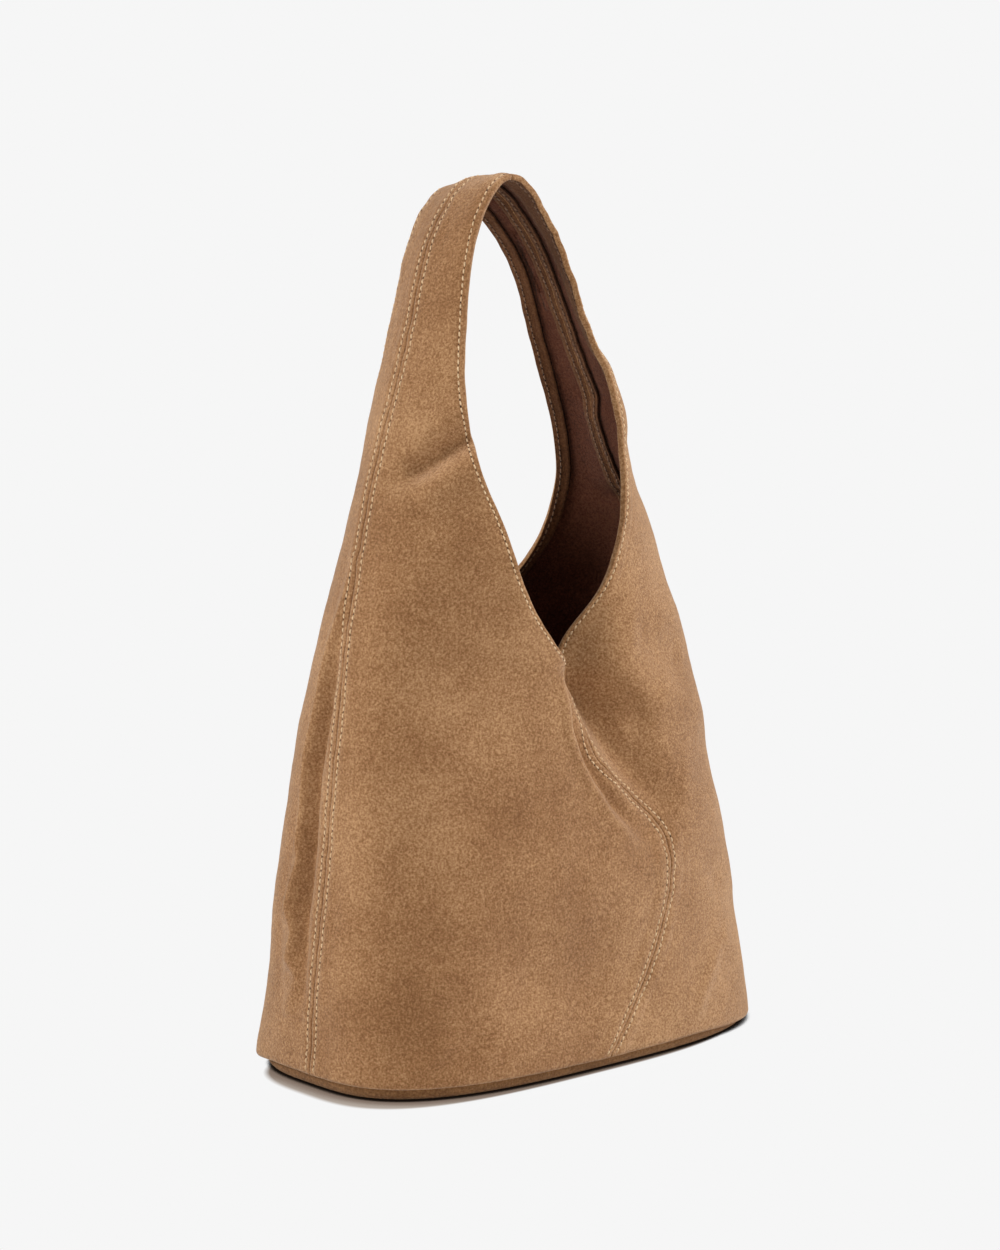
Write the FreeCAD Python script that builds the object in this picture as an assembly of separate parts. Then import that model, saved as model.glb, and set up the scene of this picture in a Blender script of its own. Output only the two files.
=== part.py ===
import FreeCAD, Part
import math
import os
from FreeCAD import Vector

# Suede hobo bag. Millimetres, +Z up, the front faces -Y, the origin is the centre of the foot.
#
# The bag is four wall panels that run on into a shoulder strap. Each quarter is one ruled family of
# sections: a section starts on the side seam and runs inwards to the centre seam, or to the mouth's hem.

# ---- driving sizes ----
BASE_WIDTH = 300.0
HEIGHT = 488.0
FOOT_HEIGHT = 9.0
SUEDE = 1.6
PANEL_GAP = 0.3

# Half width of the side seam as (half width, height), from the foot to just under the shoulder.
SIDE_SEAM = ((0.5 * BASE_WIDTH, FOOT_HEIGHT), (143.0, 70.0), (133.0, 138.0), (122.0, 206.0),
             (107.5, 275.0), (84.0, 344.0), (55.5, 412.0), (27.0, 470.0))

# Distance from the side seam's plane to the wall, as (height on the side seam, distance).
MOUTH_LEVEL = 240.0
FRONT_DEPTH = ((0.0, 80.0), (60.0, 76.5), (120.0, 73.5), (180.0, 67.5), (240.0, 61.0))
FRONT_LEFT_BAND = ((240.0, 61.0), (300.0, 61.5), (345.0, 50.0), (395.0, 37.0), (440.0, 31.0), (488.0, 29.0))
FRONT_RIGHT_BAND = ((240.0, 61.0), (300.0, 46.0), (345.0, 39.0), (395.0, 34.0), (440.0, 30.0), (488.0, 29.0))
BACK_DEPTH = ((0.0, 84.0), (60.0, 88.0), (120.0, 90.0), (180.0, 86.0), (240.0, 75.0))
BACK_LEFT_BAND = ((240.0, 75.0), (295.0, 51.0), (345.0, 37.0), (395.0, 31.0), (440.0, 28.0), (488.0, 27.0))
BACK_RIGHT_BAND = ((240.0, 75.0), (295.0, 51.0), (345.0, 37.0), (395.0, 29.5), (440.0, 25.0), (488.0, 27.0))

# How far a section runs inwards above the mouth's lowest point, as (height on the side seam, distance).
FRONT_LEFT_HEM = ((200.0, 180.0), (240.0, 118.0), (260.0, 95.0), (280.0, 75.0), (300.0, 60.0),
                  (325.0, 45.0), (355.0, 25.0), (395.0, 12.0), (440.0, 8.0), (488.0, 3.0))
FRONT_RIGHT_HEM = ((200.0, 180.0), (240.0, 118.0), (260.0, 101.0), (280.0, 80.0), (300.0, 60.0),
                   (325.0, 38.0), (355.0, 23.0), (395.0, 14.0), (440.0, 9.0), (488.0, 3.0))
BACK_LEFT_HEM = ((200.0, 180.0), (240.0, 118.0), (260.0, 86.0), (280.0, 61.0), (300.0, 45.0),
                 (325.0, 33.0), (355.0, 20.0), (395.0, 12.0), (440.0, 8.0), (488.0, 2.0))
BACK_RIGHT_HEM = ((200.0, 180.0), (240.0, 118.0), (252.0, 76.0), (266.0, 55.0), (282.0, 38.0), (300.0, 24.0),
                  (325.0, 13.0), (355.0, 9.0), (395.0, 7.0), (440.0, 3.0), (488.0, 2.0))
V_ROUNDING = 3.0
V_ROUNDING_FROM = 180.0
V_ROUNDING_TO = 330.0

# Squareness of a section (2 is an ellipse) and the angle at which it stops, against height.
FRONT_SQUARENESS = ((0.0, 3.0), (60.0, 2.7), (140.0, 2.4), (240.0, 2.15), (300.0, 2.0))
BACK_SQUARENESS = ((0.0, 3.6), (60.0, 3.4), (140.0, 2.9), (240.0, 2.4), (300.0, 2.0))
HEM_ANGLE = ((245.0, 90.0), (300.0, 68.0), (355.0, 49.5), (488.0, 49.5))

# The centre seam of the front wanders to the right, as (height, offset).
FRONT_SEAM_OFFSET = ((0.0, -7.0), (30.0, 14.0), (60.0, 33.0), (110.0, 52.5), (130.0, 53.5),
                     (145.0, 47.0), (160.0, 34.0), (195.0, 9.0), (235.0, 0.0))

# The front sags into one soft trough below the mouth, as (height, value).
TROUGH_DEPTH = ((110.0, 0.0), (140.0, 8.0), (180.0, 20.0), (215.0, 27.0), (250.0, 24.0), (300.0, 0.0))
TROUGH_X = ((140.0, 44.0), (215.0, 4.0))
TROUGH_LEFT_WIDTH = ((140.0, 17.0), (180.0, 15.5), (215.0, 10.0), (250.0, 12.0), (300.0, 26.0))
TROUGH_RIGHT_WIDTH = ((140.0, 20.0), (215.0, 24.0), (300.0, 26.0))

# The foot of the walls hangs lower at the right end, over the foot panel.
FOOT_DROOP = 5.0
FOOT_DROOP_X = (60.0, 145.0)
FOOT_DROOP_Z = 60.0

# The strap leans to the left and back, and its shoulder rolls backwards.
LEAN_X = -22.0
LEAN_Y = 9.0
SHOULDER_ROLL = 0.19
SHOULDER_ROLL_FROM = 400.0

# Strap fold: the strap tips forwards and back about an axis along X.
FOLD_Z = 335.0
FOLD_Y = LEAN_Y * (FOLD_Z / HEIGHT) ** 2
FOLD_RADIUS = 70.0
FOLD_GAP = 0.5
FOLD_SEAM_T = 0.62

# Thread, laid just clear of the suede.
THREAD_RADIUS = 0.35
THREAD_SIDES = 6
THREAD_LIFT = 0.7
CENTRE_THREAD_LIFT = 1.15
THREAD_END_GAP = 1.5
FOOT_THREAD_START = 0.01
SHOULDER_THREAD_END = 0.997
TOPSTITCH_OFFSET = 3.5
HEM_STITCH_OFFSET = 3.7
MOUTH_THREAD_GAP = 0.02

# Foot.
OUTLINE_POINTS = 64
BASE_PROFILE = ((7.0, 0.0), (3.4, 3.0), (2.8, 8.0), (3.4, 14.0))
BOARD_THICKNESS = 2.0
BOARD_INSET = 10.0
LINER_THICKNESS = 1.2
LINER_INSET = 9.6
LAYER_GAP = 0.1

# Magnetic closure.
TAB_WIDTH = 26.0
TAB_HEIGHT = 30.0
TAB_THICKNESS = 1.4
TAB_CORNER = 5.0
TAB_PLACES = {
    "front": (Vector(14.0, -30.0, 212.0), Vector(20.0, -39.5, 182.0)),
    "back": (Vector(-4.0, 70.5, 217.0), Vector(-4.0, 70.5, 187.0)),
}
MAGNET_RADIUS = 7.0
MAGNET_THICKNESS = 2.2

# Inner zip pocket, hung inside the back wall.
POCKET_HALF_WIDTH = 60.0
POCKET_BOTTOM = 75.0
POCKET_TOP = 192.0
POCKET_BACK_Y = 74.4
POCKET_FRONT_Y = 70.2
POCKET_FRONT_TOP = 168.0
SHEET_THICKNESS = 1.2
ZIP_Z = 178.0
ZIP_HALF_LENGTH = 57.0
ZIP_HALF_GAP = 0.6
TEETH_BACK_Y = 72.9
TEETH_FRONT_Y = 71.3
TOOTH_PITCH = 2.5
TOOTH_WIDTH = 1.4
TOOTH_REACH = 1.2
TOOTH_ROOT = 0.8
TAPE_FRONT_Y = 71.7
TAPE_THICKNESS = 0.8
TAPE_LOWER_BOTTOM = 160.0
HANGER_HALF_WIDTH = 30.0
HANGER_BOTTOM = 184.0
HANGER_TOP = 214.0
STOP_LENGTH = 1.6
SLIDER_X = 46.0
SLIDER_WIDTH = 9.0
SLIDER_HALF_HEIGHT = 4.5
SLIDER_PLATE = 1.0
SLIDER_CLEARANCE = 0.2
PULLER_PIN_RADIUS = 0.6
PULLER_EYE_CLEARANCE = 0.06
PULLER_PIN_Z = 177.0
PULLER_EYE_RADIUS = 1.5
PULLER_WIDTH = 5.0
PULLER_LENGTH = 18.0
PULLER_THICKNESS = 1.2

# Fineness of the sheets.
COLUMNS = 30
ROWS = 46
STRAP_ROWS = 26
STEP = 1e-4


# ---- smooth values between keys ----
def key_slopes(keys):
    """Slope at each key, chosen so that the curve never overshoots."""
    chords = [(b[1] - a[1]) / (b[0] - a[0]) for a, b in zip(keys, keys[1:])]
    inner = []
    for before, after in zip(chords, chords[1:]):
        same_way = before * after > 0.0
        inner.append(2.0 * before * after / (before + after) if same_way else 0.0)
    return [chords[0]] + inner + [chords[-1]]


def eased(keys, place):
    """Value at a place, through (place, value) keys; constant beyond the ends."""
    if place <= keys[0][0]:
        return keys[0][1]
    if place >= keys[-1][0]:
        return keys[-1][1]
    slopes = key_slopes(keys)
    index = max(i for i in range(len(keys) - 1) if keys[i][0] <= place)
    (x0, y0), (x1, y1) = keys[index], keys[index + 1]
    span = x1 - x0
    u = (place - x0) / span
    rise = u * u * (3.0 - 2.0 * u)
    start = span * slopes[index] * u * (1.0 - u) ** 2
    end = span * slopes[index + 1] * u * u * (u - 1.0)
    return y0 + (y1 - y0) * rise + start + end


def ramp(low, high, value):
    u = min(max((value - low) / (high - low), 0.0), 1.0)
    return u * u * (3.0 - 2.0 * u)


# ---- side seam ----
def side_seam_curve():
    """The side seam as one smooth arch from foot to foot, in the XZ plane."""
    rising = [Vector(x, 0.0, z) for x, z in SIDE_SEAM]
    falling = [Vector(-x, 0.0, z) for x, z in reversed(SIDE_SEAM)]
    arch = Part.BSplineCurve()
    arch.interpolate(rising + [Vector(0.0, 0.0, HEIGHT)] + falling)
    return arch


SEAM = side_seam_curve()
SEAM_START = SEAM.FirstParameter
SEAM_APEX = 0.5 * (SEAM.FirstParameter + SEAM.LastParameter)


def seam_point(t):
    """Half width and height of the side seam, t from 0 at the foot to 1 at the shoulder."""
    point = SEAM.value(SEAM_START + t * (SEAM_APEX - SEAM_START))
    return point.x, point.z


def seam_inward(t):
    """Direction from the side seam towards the inside of the arch; level at the foot."""
    tangent = SEAM.tangent(SEAM_START + t * (SEAM_APEX - SEAM_START))[0]
    height = seam_point(t)[1]
    inward = Vector(-abs(tangent.z), 0.0, -abs(tangent.x) * min(height / 150.0, 1.0))
    return inward.normalize()


# ---- one section of a wall ----
def superellipse(squareness, angle):
    """Unit superellipse at a polar angle in radians."""
    c, s = math.cos(angle), math.sin(angle)
    radius = (abs(c) ** squareness + abs(s) ** squareness) ** (-1.0 / squareness)
    return radius * c, radius * s


def angle_at_x(squareness, x):
    """Polar angle of the point of the unit superellipse with this x."""
    y = (1.0 - min(abs(x), 1.0) ** squareness) ** (1.0 / squareness)
    return math.atan2(y, x)


def section_reach(to_hem, to_centre, height):
    """Length of a section: to the centre below the mouth, to the hem above it, with a rounded change."""
    if height < V_ROUNDING_FROM:
        return to_centre
    if height > V_ROUNDING_TO:
        return to_hem
    return 0.5 * (to_hem + to_centre - math.sqrt((to_hem - to_centre) ** 2 + V_ROUNDING ** 2))


def wall_depth(side, face, height):
    if height < MOUTH_LEVEL:
        return eased(FRONT_DEPTH if face < 0 else BACK_DEPTH, height)
    left, right = (FRONT_LEFT_BAND, FRONT_RIGHT_BAND) if face < 0 else (BACK_LEFT_BAND, BACK_RIGHT_BAND)
    return eased(left if side < 0 else right, height)


def hem_keys(side, face):
    if face < 0:
        return FRONT_LEFT_HEM if side < 0 else FRONT_RIGHT_HEM
    return BACK_LEFT_HEM if side < 0 else BACK_RIGHT_HEM


class Section:
    """One section of a quarter: side is -1 left or +1 right, face is -1 front or +1 back."""

    def __init__(self, side, face, t):
        self.side, self.face = side, face
        self.width, self.height = seam_point(t)
        self.inward = seam_inward(t)
        self.squareness = eased(FRONT_SQUARENESS if face < 0 else BACK_SQUARENESS, self.height)
        self.depth = wall_depth(side, face, self.height)
        to_centre = self.width / max(-self.inward.x, 0.25)
        self.reach = section_reach(eased(hem_keys(side, face), self.height), to_centre, self.height)
        self.open_angle = math.radians(eased(HEM_ANGLE, self.height))
        self.open_x, self.open_y = superellipse(self.squareness, self.open_angle)

    def seam_offset(self):
        """Where the centre seam lies, measured towards this quarter's own side."""
        offset = eased(FRONT_SEAM_OFFSET, self.height) if self.face < 0 else 0.0
        return self.side * offset

    def last_angle(self, gap):
        if self.height >= HEM_ANGLE[0][0]:
            return self.open_angle
        return angle_at_x(self.squareness, (self.seam_offset() + gap) / self.width)

    def first_angle(self, gap):
        return gap / self.depth

    def point(self, angle):
        x, y = superellipse(self.squareness, angle)
        reach = self.reach / (1.0 - self.open_x)
        place = Vector(
            self.side * (self.width + self.inward.x * reach * (1.0 - x)),
            self.face * self.depth * y / self.open_y,
            self.height + self.inward.z * reach * (1.0 - abs(x)),
        )
        return slump(place, self.face)


def slump(p, face):
    """The hang of the suede: the trough below the mouth, the lean and the rolled shoulder."""
    x, y, z = p.x, p.y, p.z
    if face < 0:
        away = x - eased(TROUGH_X, z)
        away /= eased(TROUGH_LEFT_WIDTH if away < 0.0 else TROUGH_RIGHT_WIDTH, z)
        y += eased(TROUGH_DEPTH, z) * math.exp(-away * away)
    z -= FOOT_DROOP * ramp(FOOT_DROOP_X[0], FOOT_DROOP_X[1], x) * (1.0 - ramp(0.0, FOOT_DROOP_Z, z))
    lean = (z / HEIGHT) ** 2
    roll = SHOULDER_ROLL * ramp(SHOULDER_ROLL_FROM, HEIGHT, z)
    return Vector(x + LEAN_X * lean, y + LEAN_Y * lean, z - roll * y)


# ---- one quarter of the wall as a surface ----
class Quarter:
    """The outer surface of a quarter; q runs from the side seam (0) to the centre seam or hem (1)."""

    def __init__(self, side, face, gap=0.5 * PANEL_GAP):
        self.side, self.face, self.gap = side, face, gap

    def on(self, q, t):
        section = Section(self.side, self.face, t)
        first = section.first_angle(self.gap)
        last = section.last_angle(self.gap)
        return section.point(first + (last - first) * q)

    def normal(self, q, t):
        """Outward normal of the wall."""
        t0, t1 = max(t - STEP, 0.0), min(t + STEP, 1.0)
        q0, q1 = max(q - STEP, 0.0), min(q + STEP, 1.0)
        along = self.on(q, t1) - self.on(q, t0)
        across = self.on(q1, t) - self.on(q0, t)
        normal = along.cross(across).normalize()
        return normal * (-self.side * self.face)

    def at(self, q, t, depth=0.0):
        """A point a given depth inside the outer surface."""
        if depth == 0.0:
            return self.on(q, t)
        return self.on(q, t) - self.normal(q, t) * depth


def fold_distance(point):
    return math.hypot(point.y - FOLD_Y, point.z - FOLD_Z)


def fold_t(quarter, q, depth, radius):
    """The t at which the surface meets the cylinder round the strap's fold axis, below the axis."""
    low, high = 0.3, FOLD_SEAM_T
    for _ in range(26):
        middle = 0.5 * (low + high)
        if fold_distance(quarter.at(q, middle, depth)) > radius:
            low = middle
        else:
            high = middle
    return 0.5 * (low + high)


# ---- sheets ----
def solid_between(outer_grid, inner_grid):
    """A closed solid between two skins given as grids of points."""
    outer, inner = Part.BSplineSurface(), Part.BSplineSurface()
    outer.interpolate(outer_grid)
    inner.interpolate(inner_grid)
    u0, u1, v0, v1 = outer.bounds()
    a0, a1, b0, b1 = inner.bounds()
    faces = [outer.toShape(), inner.toShape()]
    faces.append(Part.makeRuledSurface(outer.uIso(u0).toShape(), inner.uIso(a0).toShape()))
    faces.append(Part.makeRuledSurface(outer.uIso(u1).toShape(), inner.uIso(a1).toShape()))
    faces.append(Part.makeRuledSurface(outer.vIso(v0).toShape(), inner.vIso(b0).toShape()))
    faces.append(Part.makeRuledSurface(outer.vIso(v1).toShape(), inner.vIso(b1).toShape()))
    shell = Part.makeCompound(faces)
    shell.sewShape(0.01)
    solid = Part.makeSolid(shell.Shells[0])
    if solid.Volume < 0.0:
        solid.reverse()
    return solid


def column_places():
    return [i / (COLUMNS - 1.0) for i in range(COLUMNS)]


def wall_panel(side, face):
    """A quarter wall from the foot up to the strap's fold."""
    quarter = Quarter(side, face)
    grids = []
    for depth in (0.0, SUEDE):
        grid = []
        for q in column_places():
            top = fold_t(quarter, q, depth, FOLD_RADIUS + 0.5 * FOLD_GAP)
            grid.append([quarter.at(q, top * j / (ROWS - 1.0), depth) for j in range(ROWS)])
        grids.append(grid)
    return solid_between(*grids)


def strap_half(side, face):
    """A quarter of the strap, from the fold up to the shoulder seam."""
    quarter = Quarter(side, face)
    shoulder = 1.0 - 0.5 * PANEL_GAP / SEAM.length()
    grids = []
    for depth in (0.0, SUEDE):
        grid = []
        for q in column_places()[::2] + [1.0]:
            bottom = fold_t(quarter, q, depth, FOLD_RADIUS - 0.5 * FOLD_GAP)
            rise = shoulder - bottom
            grid.append([quarter.at(q, bottom + rise * j / (STRAP_ROWS - 1.0), depth)
                         for j in range(STRAP_ROWS)])
        grids.append(grid)
    return solid_between(*grids)


# ---- threads ----
def thread(points):
    """One line of thread as a thin six-sided rod through the points."""
    path = Part.BSplineCurve()
    path.interpolate(points)
    direction = path.tangent(path.FirstParameter)[0]
    across = direction.cross(Vector(1.0, 1.0, 1.0)).normalize()
    upwards = direction.cross(across)
    corners = []
    for i in range(THREAD_SIDES + 1):
        angle = 2.0 * math.pi * i / THREAD_SIDES
        corners.append(points[0] + (across * math.cos(angle) + upwards * math.sin(angle)) * THREAD_RADIUS)
    return Part.Wire(path.toShape()).makePipeShell([Part.makePolygon(corners)], True, True)


def surface_distance_q(quarter, t, distance, from_end):
    """The q that lies a distance along the wall from the side seam, or from the centre seam or hem."""
    here = 1.0 if from_end else 0.0
    step = -0.01 if from_end else 0.01
    travelled, point = 0.0, quarter.on(here, t)
    while travelled < distance:
        here += step
        after = quarter.on(here, t)
        travelled += point.distanceToPoint(after)
        point = after
    return here - step * (travelled - distance) / point.distanceToPoint(quarter.on(here - step, t))


def stitch_line(side, face, distance, from_end, t_from, t_to, count, lift=THREAD_LIFT):
    """Points of a stitch line that keeps its distance from an edge of the quarter."""
    quarter = Quarter(side, face)
    points = []
    for i in range(count):
        t = t_from + (t_to - t_from) * i / (count - 1.0)
        q = surface_distance_q(quarter, t, distance, from_end)
        points.append(quarter.at(q, t, -lift))
    return points


def fold_limits(side, face, q):
    """The t just below and just above the strap's fold at this q."""
    quarter = Quarter(side, face)
    below = fold_t(quarter, q, 0.0, FOLD_RADIUS + THREAD_END_GAP)
    above = fold_t(quarter, q, 0.0, FOLD_RADIUS - THREAD_END_GAP)
    return below, above


def write(name, shape):
    shape.exportStep("parts/%s.step" % name)


QUARTERS = {"front_left": (-1, -1), "front_right": (1, -1), "back_left": (-1, 1), "back_right": (1, 1)}


def write_walls():
    for name, (side, face) in QUARTERS.items():
        write(name + "_panel", wall_panel(side, face))
        write("strap_" + name, strap_half(side, face))


def mouth_t():
    """The t of the section that ends at the mouth's lowest point."""
    low, high = 0.2, 0.8
    for _ in range(30):
        middle = 0.5 * (low + high)
        if seam_point(middle)[1] < HEM_ANGLE[0][0]:
            low = middle
        else:
            high = middle
    return high


def write_threads():
    mouth = mouth_t()
    strap_rows = []
    for side, side_name in ((-1, "left"), (1, "right")):
        rows = []
        for face in (-1, 1):
            below, above = fold_limits(side, face, 0.0)
            seam = (side, face, TOPSTITCH_OFFSET, False)
            rows.append(thread(stitch_line(*seam, FOOT_THREAD_START, below, 24)))
            strap_rows.append(thread(stitch_line(*seam, above, SHOULDER_THREAD_END, 20)))
        write("side_seam_thread_%s" % side_name, Part.makeCompound(rows))
    write("strap_seam_thread", Part.makeCompound(strap_rows))
    for face, face_name in ((-1, "front"), (1, "back")):
        centre, strap_hems = [], []
        for side, side_name in ((-1, "left"), (1, "right")):
            below, above = fold_limits(side, face, 1.0)
            seam = (side, face, TOPSTITCH_OFFSET, True)
            top = mouth - MOUTH_THREAD_GAP
            centre.append(thread(stitch_line(*seam, FOOT_THREAD_START, top, 60, CENTRE_THREAD_LIFT)))
            hem = (side, face, HEM_STITCH_OFFSET, True)
            line = stitch_line(*hem, mouth + MOUTH_THREAD_GAP, below, 16)
            write("hem_thread_%s_%s" % (face_name, side_name), thread(line))
            strap_hems.append(thread(stitch_line(*hem, above, SHOULDER_THREAD_END, 20)))
        write("centre_seam_thread_%s" % face_name, Part.makeCompound(centre))
        write("strap_hem_thread_%s" % face_name, Part.makeCompound(strap_hems))


# ---- foot ----
def foot_outline(inset, height):
    """The closed outline of the foot, a given distance inside the walls."""
    half_width = SIDE_SEAM[0][0] - inset
    points = []
    for i in range(OUTLINE_POINTS):
        angle = 2.0 * math.pi * i / OUTLINE_POINTS
        front = math.sin(angle) < 0.0
        squareness = (FRONT_SQUARENESS if front else BACK_SQUARENESS)[0][1]
        depth = eased(FRONT_DEPTH if front else BACK_DEPTH, FOOT_HEIGHT) - inset
        x, y = superellipse(squareness, angle)
        points.append(Vector(half_width * x, depth * y, height))
    outline = Part.BSplineCurve()
    outline.interpolate(points, True)
    return Part.Wire(outline.toShape())


def foot_loft(profile, thickness=0.0):
    return Part.makeLoft([foot_outline(inset + thickness, z) for inset, z in profile], True, False)


def foot_plate(inset, bottom, thickness):
    return Part.Face(foot_outline(inset, bottom)).extrude(Vector(0.0, 0.0, thickness))


def write_foot():
    tray = foot_loft(BASE_PROFILE)
    inner = [(inset + SUEDE, z) for inset, z in BASE_PROFILE]
    inner[0] = (inner[0][0], SUEDE)
    inner[-1] = (inner[-1][0], BASE_PROFILE[-1][1] + 1.0)
    write("base_panel", tray.cut(foot_loft(inner)))
    board_bottom = SUEDE + LAYER_GAP
    write("base_board", foot_plate(BOARD_INSET, board_bottom, BOARD_THICKNESS))
    liner_bottom = board_bottom + BOARD_THICKNESS + LAYER_GAP
    write("base_liner", foot_plate(LINER_INSET, liner_bottom, LINER_THICKNESS))


# ---- magnetic closure ----
def closure_tab():
    """A rounded tab in the XY plane, hanging from y = 0, with its thickness along +Z."""
    blank = Part.makeBox(TAB_WIDTH, TAB_HEIGHT, TAB_THICKNESS, Vector(-0.5 * TAB_WIDTH, -TAB_HEIGHT, 0.0))
    upright = [e for e in blank.Edges if abs(e.tangentAt(e.FirstParameter).z) > 0.9]
    return blank.makeFillet(TAB_CORNER, upright)


def hung(shape, top, bottom, inward):
    """Stand a shape made in the XY plane between two points of a wall, facing inwards."""
    up = (top - bottom).normalize()
    out = (inward - up * inward.dot(up)).normalize()
    across = up.cross(out)
    matrix = FreeCAD.Matrix(across.x, up.x, out.x, top.x, across.y, up.y, out.y, top.y,
                            across.z, up.z, out.z, top.z, 0.0, 0.0, 0.0, 1.0)
    placed = shape.copy()
    placed.Placement = FreeCAD.Placement(matrix)
    return placed


def write_closure():
    for face, face_name, magnet_name in ((-1, "front", "magnet_stud"), (1, "back", "magnet_socket")):
        top, bottom = TAB_PLACES[face_name]
        inward = Vector(0.0, -face, 0.0)
        write("closure_tab_" + face_name, hung(closure_tab(), top, bottom, inward))
        centre = Vector(0.0, -0.5 * TAB_HEIGHT - 4.0, TAB_THICKNESS + LAYER_GAP)
        magnet = Part.makeCylinder(MAGNET_RADIUS, MAGNET_THICKNESS, centre)
        rim = [e for e in magnet.Edges if e.isClosed() and e.CenterOfMass.z > centre.z + 1.0]
        magnet = magnet.makeChamfer(0.4, rim)
        write(magnet_name, hung(magnet, top, bottom, inward))


# ---- inner zip pocket ----
def slab(x0, x1, y0, y1, z0, z1):
    return Part.makeBox(x1 - x0, y1 - y0, z1 - z0, Vector(x0, y0, z0))


def sheet(half_width, front_y, thickness, z0, z1, corner=0.0):
    """A flat sheet facing the front, with rounded lower corners if asked."""
    blank = slab(-half_width, half_width, front_y, front_y + thickness, z0, z1)
    if corner == 0.0:
        return blank
    edges = [e for e in blank.Edges if abs(e.tangentAt(e.FirstParameter).y) > 0.9
             and e.CenterOfMass.z < z0 + 1.0]
    return blank.makeFillet(corner, edges)


def write_pocket():
    front = sheet(POCKET_HALF_WIDTH, POCKET_FRONT_Y, SHEET_THICKNESS, POCKET_BOTTOM, POCKET_FRONT_TOP, 14.0)
    write("pocket_front_sheet", front)
    back = sheet(POCKET_HALF_WIDTH, POCKET_BACK_Y, SHEET_THICKNESS, POCKET_BOTTOM, POCKET_TOP, 14.0)
    write("pocket_back_sheet", back)
    hanger_y = POCKET_BACK_Y - SHEET_THICKNESS - LAYER_GAP
    write("pocket_hanger", sheet(HANGER_HALF_WIDTH, hanger_y, SHEET_THICKNESS, HANGER_BOTTOM, HANGER_TOP))
    root = ZIP_Z + ZIP_HALF_GAP + TOOTH_REACH + TOOTH_ROOT
    mirrored_root = 2.0 * ZIP_Z - root
    write("zip_tape_upper", sheet(POCKET_HALF_WIDTH, TAPE_FRONT_Y, TAPE_THICKNESS,
                                  root + LAYER_GAP, POCKET_TOP))
    write("zip_tape_lower", sheet(POCKET_HALF_WIDTH, TAPE_FRONT_Y, TAPE_THICKNESS,
                                  TAPE_LOWER_BOTTOM, mirrored_root - LAYER_GAP))
    write("zip_teeth_upper", zip_comb(1.0))
    write("zip_teeth_lower", zip_comb(-1.0))
    stops = []
    for end in (-1.0, 1.0):
        inner = end * (ZIP_HALF_LENGTH + LAYER_GAP)
        outer = inner + end * STOP_LENGTH
        stops.append(slab(min(inner, outer), max(inner, outer), TEETH_FRONT_Y, TEETH_BACK_Y,
                          mirrored_root, root))
    write("zip_stops", Part.makeCompound(stops))


def zip_comb(way):
    """One row of teeth; way is +1 for the upper row, whose teeth point down, and -1 for the lower."""
    tip = ZIP_Z + way * ZIP_HALF_GAP
    gum = tip + way * TOOTH_REACH
    root = gum + way * TOOTH_ROOT
    outline = [Vector(-ZIP_HALF_LENGTH, TEETH_FRONT_Y, root), Vector(-ZIP_HALF_LENGTH, TEETH_FRONT_Y, gum)]
    count = int((2.0 * ZIP_HALF_LENGTH - TOOTH_WIDTH) / TOOTH_PITCH)
    start = -0.5 * count * TOOTH_PITCH + 0.25 * way * TOOTH_PITCH
    for i in range(count):
        left = start + i * TOOTH_PITCH
        right = left + TOOTH_WIDTH
        tooth = ((left, gum), (left, tip), (right, tip), (right, gum))
        outline += [Vector(x, TEETH_FRONT_Y, z) for x, z in tooth]
    outline += [Vector(ZIP_HALF_LENGTH, TEETH_FRONT_Y, gum), Vector(ZIP_HALF_LENGTH, TEETH_FRONT_Y, root)]
    face = Part.Face(Part.makePolygon(outline + outline[:1]))
    return face.extrude(Vector(0.0, TEETH_BACK_Y - TEETH_FRONT_Y, 0.0))


def write_slider():
    """The slider: two plates joined by a thin wedge, with two lugs that hold the puller's pin."""
    x0, x1 = SLIDER_X - 0.5 * SLIDER_WIDTH, SLIDER_X + 0.5 * SLIDER_WIDTH
    z0, z1 = ZIP_Z - SLIDER_HALF_HEIGHT, ZIP_Z + SLIDER_HALF_HEIGHT
    front_y = TEETH_FRONT_Y - SLIDER_CLEARANCE
    back_y = TEETH_BACK_Y + SLIDER_CLEARANCE
    body = slab(x0, x1, front_y - SLIDER_PLATE, front_y, z0, z1)
    body = body.fuse(slab(x0, x1, back_y, back_y + SLIDER_PLATE, z0, z1))
    wedge = ZIP_HALF_GAP - SLIDER_CLEARANCE
    body = body.fuse(slab(SLIDER_X - 1.5, SLIDER_X + 1.5, front_y, back_y, ZIP_Z - wedge, ZIP_Z + wedge))
    pin_y = front_y - SLIDER_PLATE - PULLER_EYE_RADIUS - SLIDER_CLEARANCE
    lug_inner = 0.5 * PULLER_WIDTH + SLIDER_CLEARANCE
    for end in (-1.0, 1.0):
        a, b = SLIDER_X + end * lug_inner, SLIDER_X + end * (lug_inner + 1.0)
        low = PULLER_PIN_Z - 1.0
        body = body.fuse(slab(min(a, b), max(a, b), pin_y - 1.0, front_y, low, low + 2.0))
    pin = Part.makeCylinder(PULLER_PIN_RADIUS, 2.0 * lug_inner + 1.0,
                            Vector(SLIDER_X - lug_inner - 0.5, pin_y, PULLER_PIN_Z), Vector(1.0, 0.0, 0.0))
    write("zip_slider", body.fuse(pin).removeSplitter())
    write_puller(pin_y)


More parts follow.
